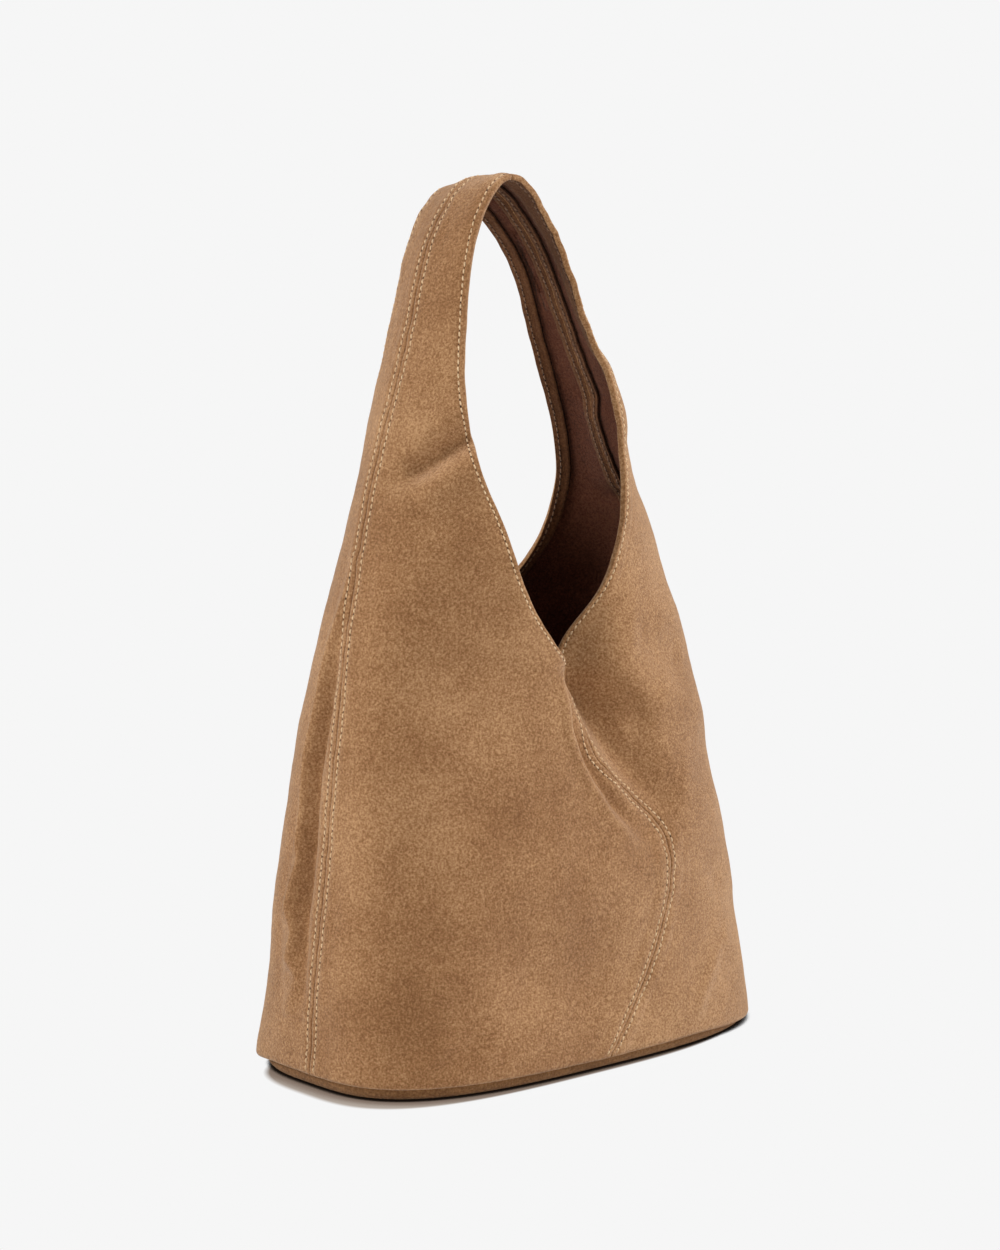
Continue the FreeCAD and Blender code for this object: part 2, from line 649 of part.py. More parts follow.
def write_puller(pin_y):
    """The puller: an eye round the pin and a tapered tag below it."""
    left = SLIDER_X - 0.5 * PULLER_WIDTH
    x_axis = Vector(1.0, 0.0, 0.0)
    centre = Vector(left, pin_y, PULLER_PIN_Z)
    eye = Part.makeCylinder(PULLER_EYE_RADIUS, PULLER_WIDTH, centre, x_axis)
    tag = slab(left, left + PULLER_WIDTH, pin_y - 0.5 * PULLER_THICKNESS, pin_y + 0.5 * PULLER_THICKNESS,
               PULLER_PIN_Z - PULLER_LENGTH, PULLER_PIN_Z)
    bore = Part.makeCylinder(PULLER_PIN_RADIUS + PULLER_EYE_CLEARANCE, PULLER_WIDTH, centre, x_axis)
    write("zip_puller", eye.fuse(tag).cut(bore).removeSplitter())


os.makedirs("parts", exist_ok=True)
write_walls()
write_threads()
write_foot()
write_closure()
write_pocket()
write_slider()
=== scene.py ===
import math

import bmesh
import bpy
import numpy as np
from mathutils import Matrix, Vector, noise


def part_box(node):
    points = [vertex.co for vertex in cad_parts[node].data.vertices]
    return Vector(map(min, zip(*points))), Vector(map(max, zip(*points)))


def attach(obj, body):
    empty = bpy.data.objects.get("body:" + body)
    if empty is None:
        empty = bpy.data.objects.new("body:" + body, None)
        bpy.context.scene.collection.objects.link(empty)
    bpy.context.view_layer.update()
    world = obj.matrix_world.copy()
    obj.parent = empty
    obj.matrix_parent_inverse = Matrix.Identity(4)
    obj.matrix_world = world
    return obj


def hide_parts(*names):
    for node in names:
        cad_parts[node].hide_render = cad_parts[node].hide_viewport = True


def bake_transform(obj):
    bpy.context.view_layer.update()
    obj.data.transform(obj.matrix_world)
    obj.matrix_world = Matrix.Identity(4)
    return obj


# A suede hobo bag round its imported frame. Lengths in the shape tables are millimetres, as in the
# CAD source; everything is turned into metres when a mesh is made.

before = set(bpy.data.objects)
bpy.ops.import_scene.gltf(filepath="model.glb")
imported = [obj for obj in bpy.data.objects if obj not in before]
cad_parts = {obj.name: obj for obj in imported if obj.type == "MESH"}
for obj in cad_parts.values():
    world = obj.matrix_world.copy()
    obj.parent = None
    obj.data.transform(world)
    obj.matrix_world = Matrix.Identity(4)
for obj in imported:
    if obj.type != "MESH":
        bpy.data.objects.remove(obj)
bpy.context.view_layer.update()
MM = 0.001

# ---- driving sizes; the width (in metres) comes from the frame ----
HEIGHT = 488.0
HALF_WIDTH = -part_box("front_left_panel")[0].x / MM
FOOT_HEIGHT = 9.0
SUEDE = 1.6

# ---- the walls, as in the CAD source: (height, value) keys ----
SIDE_SEAM = ((150.0, FOOT_HEIGHT), (143.0, 70.0), (133.0, 138.0), (122.0, 206.0),
             (107.5, 275.0), (84.0, 344.0), (55.5, 412.0), (27.0, 470.0))
MOUTH_LEVEL = 240.0
DEPTH = {"front": ((0, 80), (60, 76.5), (120, 73.5), (180, 67.5), (240, 61)),
         "back": ((0, 84), (60, 88), (120, 90), (180, 86), (240, 75))}
BAND = {"front_left": ((240, 61), (300, 61.5), (345, 50), (395, 37), (440, 31), (488, 29)),
        "front_right": ((240, 61), (300, 46), (345, 39), (395, 34), (440, 30), (488, 29)),
        "back_left": ((240, 75), (295, 51), (345, 37), (395, 31), (440, 28), (488, 27)),
        "back_right": ((240, 75), (295, 51), (345, 37), (395, 29.5), (440, 25), (488, 27))}
HEM = {"front_left": ((200, 180), (240, 118), (260, 95), (280, 75), (300, 60),
                      (325, 45), (355, 25), (395, 12), (440, 8), (488, 3)),
       "front_right": ((200, 180), (240, 118), (260, 101), (280, 80), (300, 60),
                       (325, 38), (355, 23), (395, 14), (440, 9), (488, 3)),
       "back_left": ((200, 180), (240, 118), (260, 86), (280, 61), (300, 45),
                     (325, 33), (355, 20), (395, 12), (440, 8), (488, 2)),
       "back_right": ((200, 180), (240, 118), (252, 76), (266, 55), (282, 38), (300, 24),
                      (325, 13), (355, 9), (395, 7), (440, 3), (488, 2))}
V_ROUNDING, V_ROUNDING_FROM, V_ROUNDING_TO = 3.0, 180.0, 330.0
LEVEL_BELOW, LEAST_INWARD = 150.0, 0.25
SQUARENESS = {"front": ((0, 3.0), (60, 2.7), (140, 2.4), (240, 2.15), (300, 2.0)),
              "back": ((0, 3.6), (60, 3.4), (140, 2.9), (240, 2.4), (300, 2.0))}
HEM_ANGLE = ((245, 90), (300, 68), (355, 49.5), (488, 49.5))
FRONT_SEAM_OFFSET = ((0, -7), (30, 14), (60, 33), (110, 52.5), (130, 53.5), (145, 47),
                     (160, 34), (195, 9), (235, 0))
TROUGH_DEPTH = ((110, 0), (140, 8), (180, 20), (215, 27), (250, 24), (300, 0))
TROUGH_X = ((140, 44), (215, 4))
TROUGH_LEFT_WIDTH = ((140, 17), (180, 15.5), (215, 10), (250, 12), (300, 26))
TROUGH_RIGHT_WIDTH = ((140, 20), (215, 24), (300, 26))
FOOT_DROOP, FOOT_DROOP_X, FOOT_DROOP_Z = 5.0, (60.0, 145.0), 60.0
LEAN_X, LEAN_Y = -22.0, 9.0
SHOULDER_ROLL, SHOULDER_ROLL_FROM = 0.19, 400.0

# ---- sewing: the turned edges press on each other, so their gap is a little below nothing ----
SEAM_GAP = -0.02
SEAM_FLAP = (7.0, 5.6, 4.2, 3.2, 2.2)
HEM_FLAP = {"front_left": (12.0, 9.0, 6.5, 4.2, 2.4), "front_right": (16.0, 12.5, 9.0, 5.5, 2.6),
            "back_left": (10.0, 8.0, 6.0, 4.0, 2.4), "back_right": (10.0, 8.0, 6.0, 4.0, 2.4)}
FLAP_LIFT, EDGE_TURN = 0.4, 0.4
STITCH_OFFSET, STITCH_PITCH, STITCH_LENGTH, STITCH_RADIUS = 3.5, 3.8, 2.6, 0.48
FOOT_ROLL, FOOT_ROLL_TURNS = 2.2, (100.0, 75.0, 50.0, 25.0)
EDGE_TURNS = (60.0, 30.0, 0.0, -30.0, -60.0)
LINING_GAP = 0.06
# the raised band over the turned allowance, the dips at the edge and the stitches, and the puckers
SEAM_BAND, HEM_BAND, BAND_LIFT, BAND_SLOPE = 6.0, 9.0, 0.5, 4.0
EDGE_DIP, EDGE_DIP_WIDTH = 0.25, 1.6
STITCH_DIP, STITCH_DIP_WIDTH = 0.35, 0.9
PUCKER = (0.7, 8.0, 4.0, 11.0)  # amount, size, seed, reach

# which way each quarter lies from the middle: (left or right, front or back)
QUARTERS = {"front_left": (-1, -1), "front_right": (1, -1),
            "back_left": (-1, 1), "back_right": (1, 1)}


# ---- smooth values ----
def eased(keys, place):
    """Value at each place through (place, value) keys, without overshoot, constant at the ends."""
    x, y = np.array(keys, float).T
    chord = np.diff(y) / np.diff(x)
    before, after = chord[:-1], chord[1:]
    same_way = before * after > 0.0
    total = np.where(same_way, before + after, 1.0)
    inner = np.where(same_way, 2.0 * before * after / total, 0.0)
    slope = np.concatenate([chord[:1], inner, chord[-1:]])
    place = np.clip(np.asarray(place, float), x[0], x[-1])
    index = np.clip(np.searchsorted(x, place, side="right") - 1, 0, len(x) - 2)
    span = x[index + 1] - x[index]
    u = (place - x[index]) / span
    value = y[index] + (y[index + 1] - y[index]) * u * u * (3.0 - 2.0 * u)
    value = value + span * slope[index] * u * (1.0 - u) ** 2
    return value + span * slope[index + 1] * u * u * (u - 1.0)


def ramp(low, high, value):
    """0 below low, 1 above high, and a smooth rise between."""
    u = np.clip((value - low) / (high - low), 0.0, 1.0)
    return u * u * (3.0 - 2.0 * u)


def spline(places, values, at):
    """Natural cubic spline through the values, and its slope, at each place."""
    h = np.diff(places)
    n = len(places)
    steps = np.diff(values, axis=0) / h[:, None]
    matrix, right = np.eye(n), np.zeros((n, values.shape[1]))
    for i in range(1, n - 1):
        matrix[i, i - 1:i + 2] = h[i - 1], 2.0 * (h[i - 1] + h[i]), h[i]
        right[i] = 6.0 * (steps[i] - steps[i - 1])
    bend = np.linalg.solve(matrix, right)
    index = np.clip(np.searchsorted(places, at, side="right") - 1, 0, n - 2)
    span = h[index][:, None]
    b = ((at - places[index]) / h[index])[:, None]
    a = 1.0 - b
    low, high = values[index], values[index + 1]
    curve = a * low + b * high
    curve += ((a ** 3 - a) * bend[index] + (b ** 3 - b) * bend[index + 1]) * span ** 2 / 6.0
    change = (3.0 * b ** 2 - 1.0) * bend[index + 1] - (3.0 * a ** 2 - 1.0) * bend[index]
    return curve, (high - low) / span + change * span / 6.0


def unit(vectors):
    return vectors / np.linalg.norm(vectors, axis=-1, keepdims=True)


# ---- the side seam's arch ----
ARCH = np.array([*SIDE_SEAM, (0.0, HEIGHT), *[(-x, z) for x, z in reversed(SIDE_SEAM)]])
ARCH_PLACES = np.concatenate([[0.0], np.cumsum(np.linalg.norm(np.diff(ARCH, axis=0), axis=1))])
ARCH_HALF = 0.5 * ARCH_PLACES[-1]


class Quarter:
    """The outer surface of one quarter of the bag, from its foot to the shoulder."""

    def __init__(self, name, t):
        self.side, self.face = QUARTERS[name]
        self.face_name = "front" if self.face < 0 else "back"
        seam, tangent = spline(ARCH_PLACES, ARCH, t * ARCH_HALF)
        tangent = unit(tangent)
        self.width, self.height = seam.T
        tilt_share = np.minimum(self.height / LEVEL_BELOW, 1.0)
        self.inward = unit(np.stack([-abs(tangent[:, 1]), -abs(tangent[:, 0]) * tilt_share], 1))
        self.squareness = eased(SQUARENESS[self.face_name], self.height)
        low = eased(DEPTH[self.face_name], self.height)
        self.depth = np.where(self.height < MOUTH_LEVEL, low, eased(BAND[name], self.height))
        to_centre = self.width / np.maximum(-self.inward[:, 0], LEAST_INWARD)
        to_hem = eased(HEM[name], self.height)
        gap = to_hem - to_centre
        rounded = 0.5 * (to_hem + to_centre - np.sqrt(gap ** 2 + V_ROUNDING ** 2))
        self.reach = np.where(self.height < V_ROUNDING_FROM, to_centre,
                              np.where(self.height > V_ROUNDING_TO, to_hem, rounded))
        self.open_angle = np.radians(eased(HEM_ANGLE, self.height))
        self.open_x, self.open_y = self.superellipse(self.open_angle, self.squareness)
        offset = eased(FRONT_SEAM_OFFSET, self.height) if self.face < 0 else 0.0 * self.height
        end_x = (self.side * offset + 0.5 * SEAM_GAP) / self.width.clip(1.0)
        end_y = (1.0 - abs(end_x) ** self.squareness).clip(0.0) ** (1.0 / self.squareness)
        below = self.height < HEM_ANGLE[0][0]
        self.last_angle = np.where(below, np.arctan2(end_y, end_x), self.open_angle)
        self.first_angle = 0.5 * SEAM_GAP / self.depth

    @staticmethod
    def superellipse(angle, squareness):
        c, s = np.cos(angle), np.sin(angle)
        radius = (abs(c) ** squareness + abs(s) ** squareness) ** (-1.0 / squareness)
        return radius * c, radius * s

    def at(self, angle):
        """Points at the angles, an array of rows by columns."""
        rows = lambda values: values[:, None]
        x, y = self.superellipse(angle, rows(self.squareness))
        reach = rows(self.reach / (1.0 - self.open_x))
        px = self.side * (rows(self.width) + rows(self.inward[:, 0]) * reach * (1.0 - x))
        py = self.face * rows(self.depth) * y / rows(self.open_y)
        pz = rows(self.height) + rows(self.inward[:, 1]) * reach * (1.0 - abs(x))
        return slump(np.stack([px, py, pz], -1), self.face)


def slump(p, face):
    """The hang of the suede: the trough below the mouth, the lean and the rolled shoulder."""
    x, y, z = p[..., 0], p[..., 1], p[..., 2]
    if face < 0:
        away = x - eased(TROUGH_X, z)
        left_width, right_width = eased(TROUGH_LEFT_WIDTH, z), eased(TROUGH_RIGHT_WIDTH, z)
        away = away / np.where(away < 0.0, left_width, right_width)
        y = y + eased(TROUGH_DEPTH, z) * np.exp(-away * away)
    z = z - FOOT_DROOP * ramp(*FOOT_DROOP_X, x) * (1.0 - ramp(0.0, FOOT_DROOP_Z, z))
    lean = (z / HEIGHT) ** 2
    roll = SHOULDER_ROLL * ramp(SHOULDER_ROLL_FROM, HEIGHT, z)
    return np.stack([x + LEAN_X * lean, y + LEAN_Y * lean, z - roll * y], -1)


# ---- a sewn sheet ----
EDGE_COLUMNS = (0.0, 0.8, 1.6, 2.6, STITCH_OFFSET, 4.4, 5.6, 6.8, 8.4, 10.2, 12.6)
MIDDLE_COLUMNS = 84
ROWS = 190
FINE = 500


# Each fold: the places it runs through, how far it pushes the suede out, and its half-width.
FOLDS = (
    # the crease across the left root of the strap, and the flat plane under it
    (((-56, -47, 364), (-66, -41, 356), (-76, -34, 348), (-86, -26, 340),
      (-96, -13, 330)), -8.2, 6.6),
    (((-58, -52, 344), (-70, -44, 336), (-82, -34, 328), (-94, -20, 318)), 3.4, 9.0),
    (((-58, -40, 376), (-70, -32, 366), (-80, -22, 358)), 2.2, 9.0),
    # the soft pleat down the left side of the back, with its groove beside the side seam
    (((-112, 6, 285), (-119, 10, 252), (-123, 16, 224), (-126, 19, 202), (-129, 25, 178),
      (-132, 23, 151), (-135, 25, 132), (-136, 21, 121), (-139, 29, 95), (-141, 20, 83),
      (-143, 25, 67), (-144, 15, 59), (-146, 22, 40)), 5.6, 4.4),
    (((-111, 6, 270), (-118, 9, 240), (-125, 13, 205), (-130, 18, 170), (-134, 17, 140),
      (-137, 16, 112), (-140, 17, 92), (-143, 13, 74), (-146, 10, 52)), -5.8, 4.4),
    (((-134, 36, 160), (-139, 38, 120), (-142, 40, 86), (-146, 34, 60)), -2.6, 8.0),
    (((-128, 40, 215), (-133, 44, 170), (-136, 50, 140)), 1.8, 9.0),
    (((-139, 46, 104), (-146, 32, 72), (-149, 22, 44)), 1.8, 5.0),
    # the fold that runs down from the mouth, left of the centre seam, and the fall beside it
    (((-21, -59, 223), (-17, -61, 204), (-16, -64, 187), (-7, -67, 166), (1, -69, 154),
      (10, -72, 141), (22, -72, 126), (32, -70, 119)), 2.6, 4.2),
    (((-8, -58, 232), (-8, -59, 210), (-7, -61, 192), (-2, -63, 177), (5, -66, 163),
      (12, -68, 152), (21, -69, 140), (31, -69, 127)), -7.0, 6.8),
    # dents and ridges of the right front
    (((34, -54, 205), (40, -56, 194), (46, -57, 181)), -1.8, 6.5),
    (((22, -46, 196), (30, -49, 184), (37, -53, 170)), 2.0, 7.0),
    (((40, -50, 236), (62, -48, 226), (88, -36, 214)), -3.2, 12.0),
    (((52, -54, 206), (76, -50, 190), (104, -40, 178)), 2.6, 12.0),
    (((60, -60, 150), (84, -56, 138), (112, -44, 130)), 2.4, 14.0),
    (((66, -76, 12), (74, -75, 25), (84, -72, 38), (96, -66, 52)), 1.5, 5.0),
    (((90, -62, 96), (100, -58, 84), (118, -52, 70), (132, -40, 58)), -1.8, 8.0),
    (((96, -64, 60), (112, -60, 44), (126, -52, 32)), 1.6, 8.0),
    # the right root of the strap: its hem bulges, the side below it is pinched in
    (((42, -26, 396), (47, -25, 381), (53, -24, 364), (58, -24, 350), (62, -24, 340)), 3.4, 12.5),
    (((66, -4, 368), (74, 0, 346), (82, 4, 326), (90, 6, 304)), -6.0, 21.0),
    # under the left hem and across the left front
    (((-60, -60, 262), (-40, -62, 236), (-24, -62, 214)), 1.8, 14.0),
    (((-104, -40, 236), (-84, -56, 206), (-62, -64, 184)), -1.4, 18.0),
    (((-96, -52, 132), (-60, -70, 112), (-20, -74, 100)), 1.2, 18.0),
    (((-70, -72, 62), (-30, -78, 50), (8, -78, 44)), -1.4, 15.0),
    # where the foot's seam gathers the left front
    (((-128, -56, 12), (-118, -63, 20), (-104, -68, 34)), 1.8, 4.5),
    (((-110, -68, 12), (-100, -71, 22), (-86, -73, 34)), -1.4, 5.0),
    # the shoulder sinks a little where it turns over
    (((8, -20, 486), (16, -22, 478), (24, -22, 466)), -2.4, 16.0),
)

# The lower left corner hangs out over the foot: (centre, move, radius).
CORNER_FLARE = ((-139.0, 61.0, 8.0), (-3.0, 1.8, -2.4), 18.0)


def along_path(p, path):
    """Distance of each point from a run of straight steps, and how far along it lies, 0 to 1."""
    corners = np.array(path, float)
    lengths = np.linalg.norm(np.diff(corners, axis=0), axis=1)
    starts = np.concatenate([[0.0], np.cumsum(lengths)])
    nearest, place = np.full(p.shape[:-1], 1e9), np.zeros(p.shape[:-1])
    for corner, after, length, start in zip(corners, corners[1:], lengths, starts):
        step = (after - corner) / length
        share = np.clip((p - corner) @ step, 0.0, length)
        distance = np.linalg.norm(p - corner - share[..., None] * step, axis=-1)
        place = np.where(distance < nearest, start + share, place)
        nearest = np.minimum(distance, nearest)
    return nearest, place / starts[-1]


def rough(p, size, seed):
    """Smooth random unevenness with features about this size, from -1 to 1."""
    shift = Vector((seed * 7.3, seed * 3.1, seed * 5.7))
    values = [noise.noise(Vector(v) + shift) for v in (p / size).reshape(-1, 3).tolist()]
    return np.array(values).reshape(p.shape[:-1])


# Unevenness as (amount, size, seed); the slack of the walls is mostly gone on the strap.
SLACK = ((2.2, 66.0, 1.0), (0.9, 30.0, 2.0))
SKIN = (0.25, 9.0, 3.0)
STRAP_CALM, STRAP_CALM_FROM, STRAP_CALM_TO = 0.7, 330.0, 400.0
FOLD_FADE, FOLD_END_SHARE = 0.22, 0.25
FOOT_HOLDS_FROM, FOOT_HOLDS_TO = FOOT_HEIGHT - 6.0, FOOT_HEIGHT + 22.0


def folds(p):
    """How far the suede's folds and dents push the surface outwards, in millimetres."""
    height = p[..., 2]
    push = sum(amount * rough(p, size, seed) for amount, size, seed in SLACK)
    push = push * (1.0 - STRAP_CALM * ramp(STRAP_CALM_FROM, STRAP_CALM_TO, height))
    for path, amount, width in FOLDS:
        distance, place = along_path(p, path)
        fade = ramp(0.0, FOLD_FADE, place) * (1.0 - ramp(1.0 - FOLD_FADE, 1.0, place))
        share = FOLD_END_SHARE + (1.0 - FOLD_END_SHARE) * fade
        push = push + amount * share * np.exp(-(distance / width) ** 2)
    amount, size, seed = SKIN
    return push * ramp(FOOT_HOLDS_FROM, FOOT_HOLDS_TO, height) + amount * rough(p, size, seed)


def flare(p):
    """How far the hanging corner moves each point."""
    centre, move, radius = CORNER_FLARE
    away = np.linalg.norm(p - np.array(centre), axis=-1)
    return np.exp(-(away / radius) ** 2)[..., None] * np.array(move)


def surface_normals(p, flip):
    """Outward normals of a grid of points."""
    along, across = np.gradient(p, axis=0), np.gradient(p, axis=1)
    return unit(np.cross(along, across)) * flip


class Sheet:
    """One quarter of the bag as rows and columns of points, from its seam to its open edge."""

    def __init__(self, name):
        t = np.linspace(0.0, 1.0 - 0.5 * SEAM_GAP / ARCH_HALF, ROWS)
        quarter = Quarter(name, t)
        self.name, self.side, self.face = name, quarter.side, quarter.face
        span = np.linspace(0.0, 1.0, FINE)[None, :]
        first, last = quarter.first_angle[:, None], quarter.last_angle[:, None]
        fine = quarter.at(first + (last - first) * span)
        steps = np.linalg.norm(np.diff(fine, axis=1), axis=2)
        arc = np.concatenate([np.zeros((ROWS, 1)), np.cumsum(steps, 1)], 1)
        self.length = arc[:, -1]
        edge = np.array(EDGE_COLUMNS)
        middle = np.linspace(0.0, 1.0, MIDDLE_COLUMNS)[1:-1]
        room = self.length - 2.0 * edge[-1]
        self.from_seam = np.concatenate(
            [np.tile(edge, (ROWS, 1)), edge[-1] + room[:, None] * middle,
             self.length[:, None] - edge[::-1]], 1)
        angles = np.stack([np.interp(s, a, span[0]) for s, a in zip(self.from_seam, arc)])
        self.p = quarter.at(first + (last - first) * angles)
        self.flip = -self.side * self.face
        normals = surface_normals(self.p, self.flip)
        folded = self.p + normals * folds(self.p)[..., None] + flare(self.p)
        self.p = folded + normals * self.sewing()[..., None]
        self.n = surface_normals(folded, self.flip)
        self.add_foot_roll()

    def sewing(self):
        """The band the turned allowance raises along each edge, and its stitches' groove."""
        lift = 0.0
        amount, size, seed, reach = PUCKER
        pucker = amount * rough(self.p, size, seed)
        from_open_edge = self.length[:, None] - self.from_seam
        for away, width in ((self.from_seam, SEAM_BAND), (from_open_edge, HEM_BAND)):
            lift = lift + BAND_LIFT * (1.0 - ramp(width, width + BAND_SLOPE, away))
            lift = lift - EDGE_DIP * (1.0 - ramp(0.0, EDGE_DIP_WIDTH, away))
            lift = lift - STITCH_DIP * np.exp(-((away - STITCH_OFFSET) / STITCH_DIP_WIDTH) ** 2)
            lift = lift + pucker * np.exp(-(away / reach) ** 2)
        return lift

    def add_foot_roll(self):
        """Rows that roll under the foot's edge."""
        level = self.n[0] * np.array([1.0, 1.0, 0.0])
        level = unit(level)
        down = np.array([0.0, 0.0, -1.0])
        rows, normals = [], []
        for angle in np.radians(FOOT_ROLL_TURNS):
            inwards, under = FOOT_ROLL * (1.0 - math.cos(angle)), FOOT_ROLL * math.sin(angle)
            rows.append(self.p[0] - level * inwards + down * under)
            normals.append(level * math.cos(angle) + down * math.sin(angle))
        self.p = np.concatenate([np.array(rows), self.p])
        self.n = np.concatenate([np.array(normals), self.n])
        pad = len(rows)
        self.from_seam = np.concatenate([self.from_seam[:1]] * pad + [self.from_seam])
        self.length = np.concatenate([self.length[:1]] * pad + [self.length])
        self.first_wall_row = pad

    def column(self, away, from_end):
        """Points and normals at a distance from the seam (or the open edge), for every row."""
        places = self.length - away if from_end else np.full(len(self.length), away)

        def pick(values):
            return np.array([[np.interp(place, known, row[:, k]) for k in range(3)]
                             for place, known, row in zip(places, self.from_seam, values)])

        return pick(self.p), unit(pick(self.n))

    def profile(self):
        """The closed cross-section: (points, material) for each place round the folded sheet."""
        thick, slit = SUEDE, LINING_GAP
        ring = []

        def put(away, depth, from_end, kind):
            point, normal = self.column(away, from_end)
            if depth > thick:
                depth = depth + FLAP_LIFT * float(ramp(4.0, 8.0, away))
            ring.append((point - normal * depth, kind))

        seam, hem = SEAM_FLAP, HEM_FLAP[self.name]
        turn = [(EDGE_TURN * (1.0 - math.cos(a)), thick * (1.0 + math.sin(a)))
                for a in np.radians(EDGE_TURNS)]
        for away in seam + (EDGE_TURN,):
            put(away, 2.0 * thick, False, 3)
        for away, depth in turn:
            put(away, depth, False, 0)
        first, last = 1, self.p.shape[1] - 2
        for i in range(first, last + 1):
            ring.append((self.p[:, i], 0))
        for away, depth in reversed(turn):
            put(away, depth, True, 0)
        for away in (EDGE_TURN,) + hem[::-1]:
            put(away, 2.0 * thick, True, 3)
        for away in hem:
            put(away, thick + slit, True, 1)
        for i in range(last - 1, first, -1):
            ring.append((self.p[:, i] - self.n[:, i] * (thick - slit), 1))
        for away in seam[::-1]:
            put(away, thick + slit, False, 1)
        return ring


def mesh_object(name, vertices, faces, materials, kinds=None, smooth=True):
    mesh = bpy.data.meshes.new(name)
    mesh.from_pydata((np.asarray(vertices) * MM).tolist(), [], faces)
    for material in materials:
        mesh.materials.append(material)
    if kinds is not None:
        mesh.polygons.foreach_set("material_index", np.asarray(kinds, np.int32))
    mesh.polygons.foreach_set("use_smooth", np.full(len(faces), smooth))
    mesh.update()
    piece = bpy.data.objects.new(name, mesh)
    bpy.context.scene.collection.objects.link(piece)
    return piece


def fix_normals(piece):
    edit = bmesh.new()
    edit.from_mesh(piece.data)
    bmesh.ops.recalc_face_normals(edit, faces=edit.faces)
    edit.to_mesh(piece.data)
    edit.free()


def sheet_piece(sheet, materials):
    """The quarter as one closed mesh."""
    ring = sheet.profile()
    count, rows = len(ring), sheet.p.shape[0]
    points = np.stack([point for point, _ in ring], 1).reshape(-1, 3)
    faces, kinds = [], []
    for j in range(rows - 1):
        for i in range(count):
            k = (i + 1) % count
            a, b = j * count + i, j * count + k
            faces.append((a, b, b + count, a + count))
            here, there = ring[i][1], ring[k][1]
            # faces where the inner flesh meets another kind are the flaps' raw edges, which take
            # the dark painted-shade suede
            kinds.append(here if here == there else (2 if 1 in (here, there) else 0))
    faces.append(tuple(range(count - 1, -1, -1)))
    faces.append(tuple((rows - 1) * count + i for i in range(count)))
    kinds += [1, 1]
    piece = mesh_object("suede_" + sheet.name, points, faces, materials, kinds)
    fix_normals(piece)
    return piece


# ---- stitches ----
def resample(points, normals, pitch):
    """Places a pitch apart along a line of points: centre, direction and normal."""
    steps = np.linalg.norm(np.diff(points, axis=0), axis=1)
    arc = np.concatenate([[0.0], np.cumsum(steps)])
    places = np.arange(0.5 * pitch, arc[-1] - 0.5 * pitch, pitch)
    pick = lambda values: np.stack([np.interp(places, arc, values[:, k]) for k in range(3)], 1)
    centre = pick(points)
    ahead = np.stack([np.interp(places + 0.5, arc, points[:, k]) for k in range(3)], 1)
    return centre, unit(ahead - centre), unit(pick(normals))


STITCH_RINGS = 5
STITCH_SIDES = 6
STITCH_RISE, STITCH_ARCH = 0.30, 0.5
STITCH_TAPER, STITCH_FLATNESS = 0.35, 0.8
HOLE_ALONG, HOLE_ACROSS, HOLE_TOP, HOLE_BOTTOM = 0.62, 0.56, 0.2, 0.3
HOLE_SIDES = 6


def stitch_mesh(centres, along, up, slant, size):
    """Short arched threads, each with a small dark disc of painted shade between it and the next,
    where the needle went through.
    """
    across = unit(np.cross(up, along))
    along = unit(along + across * slant)
    vertices, faces, kinds = [], [], []
    for c, a, u in zip(centres, along, up):
        w = np.cross(u, a)
        base = len(vertices)
        for r in range(STITCH_RINGS):
            share = 2.0 * r / (STITCH_RINGS - 1.0) - 1.0
            rise = STITCH_RISE - STITCH_ARCH * share ** 2
            middle = c + (a * (0.5 * STITCH_LENGTH * share) + u * rise) * size
            radius = size * STITCH_RADIUS * (1.0 - STITCH_TAPER * share ** 4)
            for s in range(STITCH_SIDES):
                angle = 2.0 * math.pi * s / STITCH_SIDES
                spoke = w * math.cos(angle) + u * STITCH_FLATNESS * math.sin(angle)
                vertices.append(middle + spoke * radius)
        for r in range(STITCH_RINGS - 1):
            for s in range(STITCH_SIDES):
                k = (s + 1) % STITCH_SIDES
                p = base + r * STITCH_SIDES
                faces.append((p + s, p + k, p + STITCH_SIDES + k, p + STITCH_SIDES + s))
                kinds.append(0)
        last = base + (STITCH_RINGS - 1) * STITCH_SIDES
        faces.append(tuple(base + s for s in range(STITCH_SIDES - 1, -1, -1)))
        faces.append(tuple(last + s for s in range(STITCH_SIDES)))
        kinds += [0, 0]
        base = len(vertices)
        hole_shade = c + a * (0.5 * STITCH_PITCH * size)
        vertices += [hole_shade + u * HOLE_TOP * size, hole_shade - u * HOLE_BOTTOM * size]
        for s in range(HOLE_SIDES):
            angle = 2.0 * math.pi * s / HOLE_SIDES
            spoke = a * math.cos(angle) * HOLE_ALONG + w * math.sin(angle) * HOLE_ACROSS
            vertices.append(hole_shade + spoke * size)
        for s in range(HOLE_SIDES):
            k = (s + 1) % HOLE_SIDES
            faces.append((base, base + 2 + s, base + 2 + k))
            faces.append((base + 1, base + 2 + k, base + 2 + s))
            kinds += [1, 1]
    return vertices, faces, kinds


def stitch_rows(name, lines, materials, slant=0.1, size=1.0):
    vertices, faces, kinds = [], [], []
    for points, normals, first_kind in lines:
        v, f, k = stitch_mesh(*resample(points, normals, STITCH_PITCH * size), slant, size)
        base = len(vertices)
        vertices += v
        faces += [tuple(i + base for i in face) for face in f]
        kinds += [first_kind + kind for kind in k]
    piece = mesh_object(name, np.array(vertices), faces, materials, kinds)
    fix_normals(piece)
    return piece


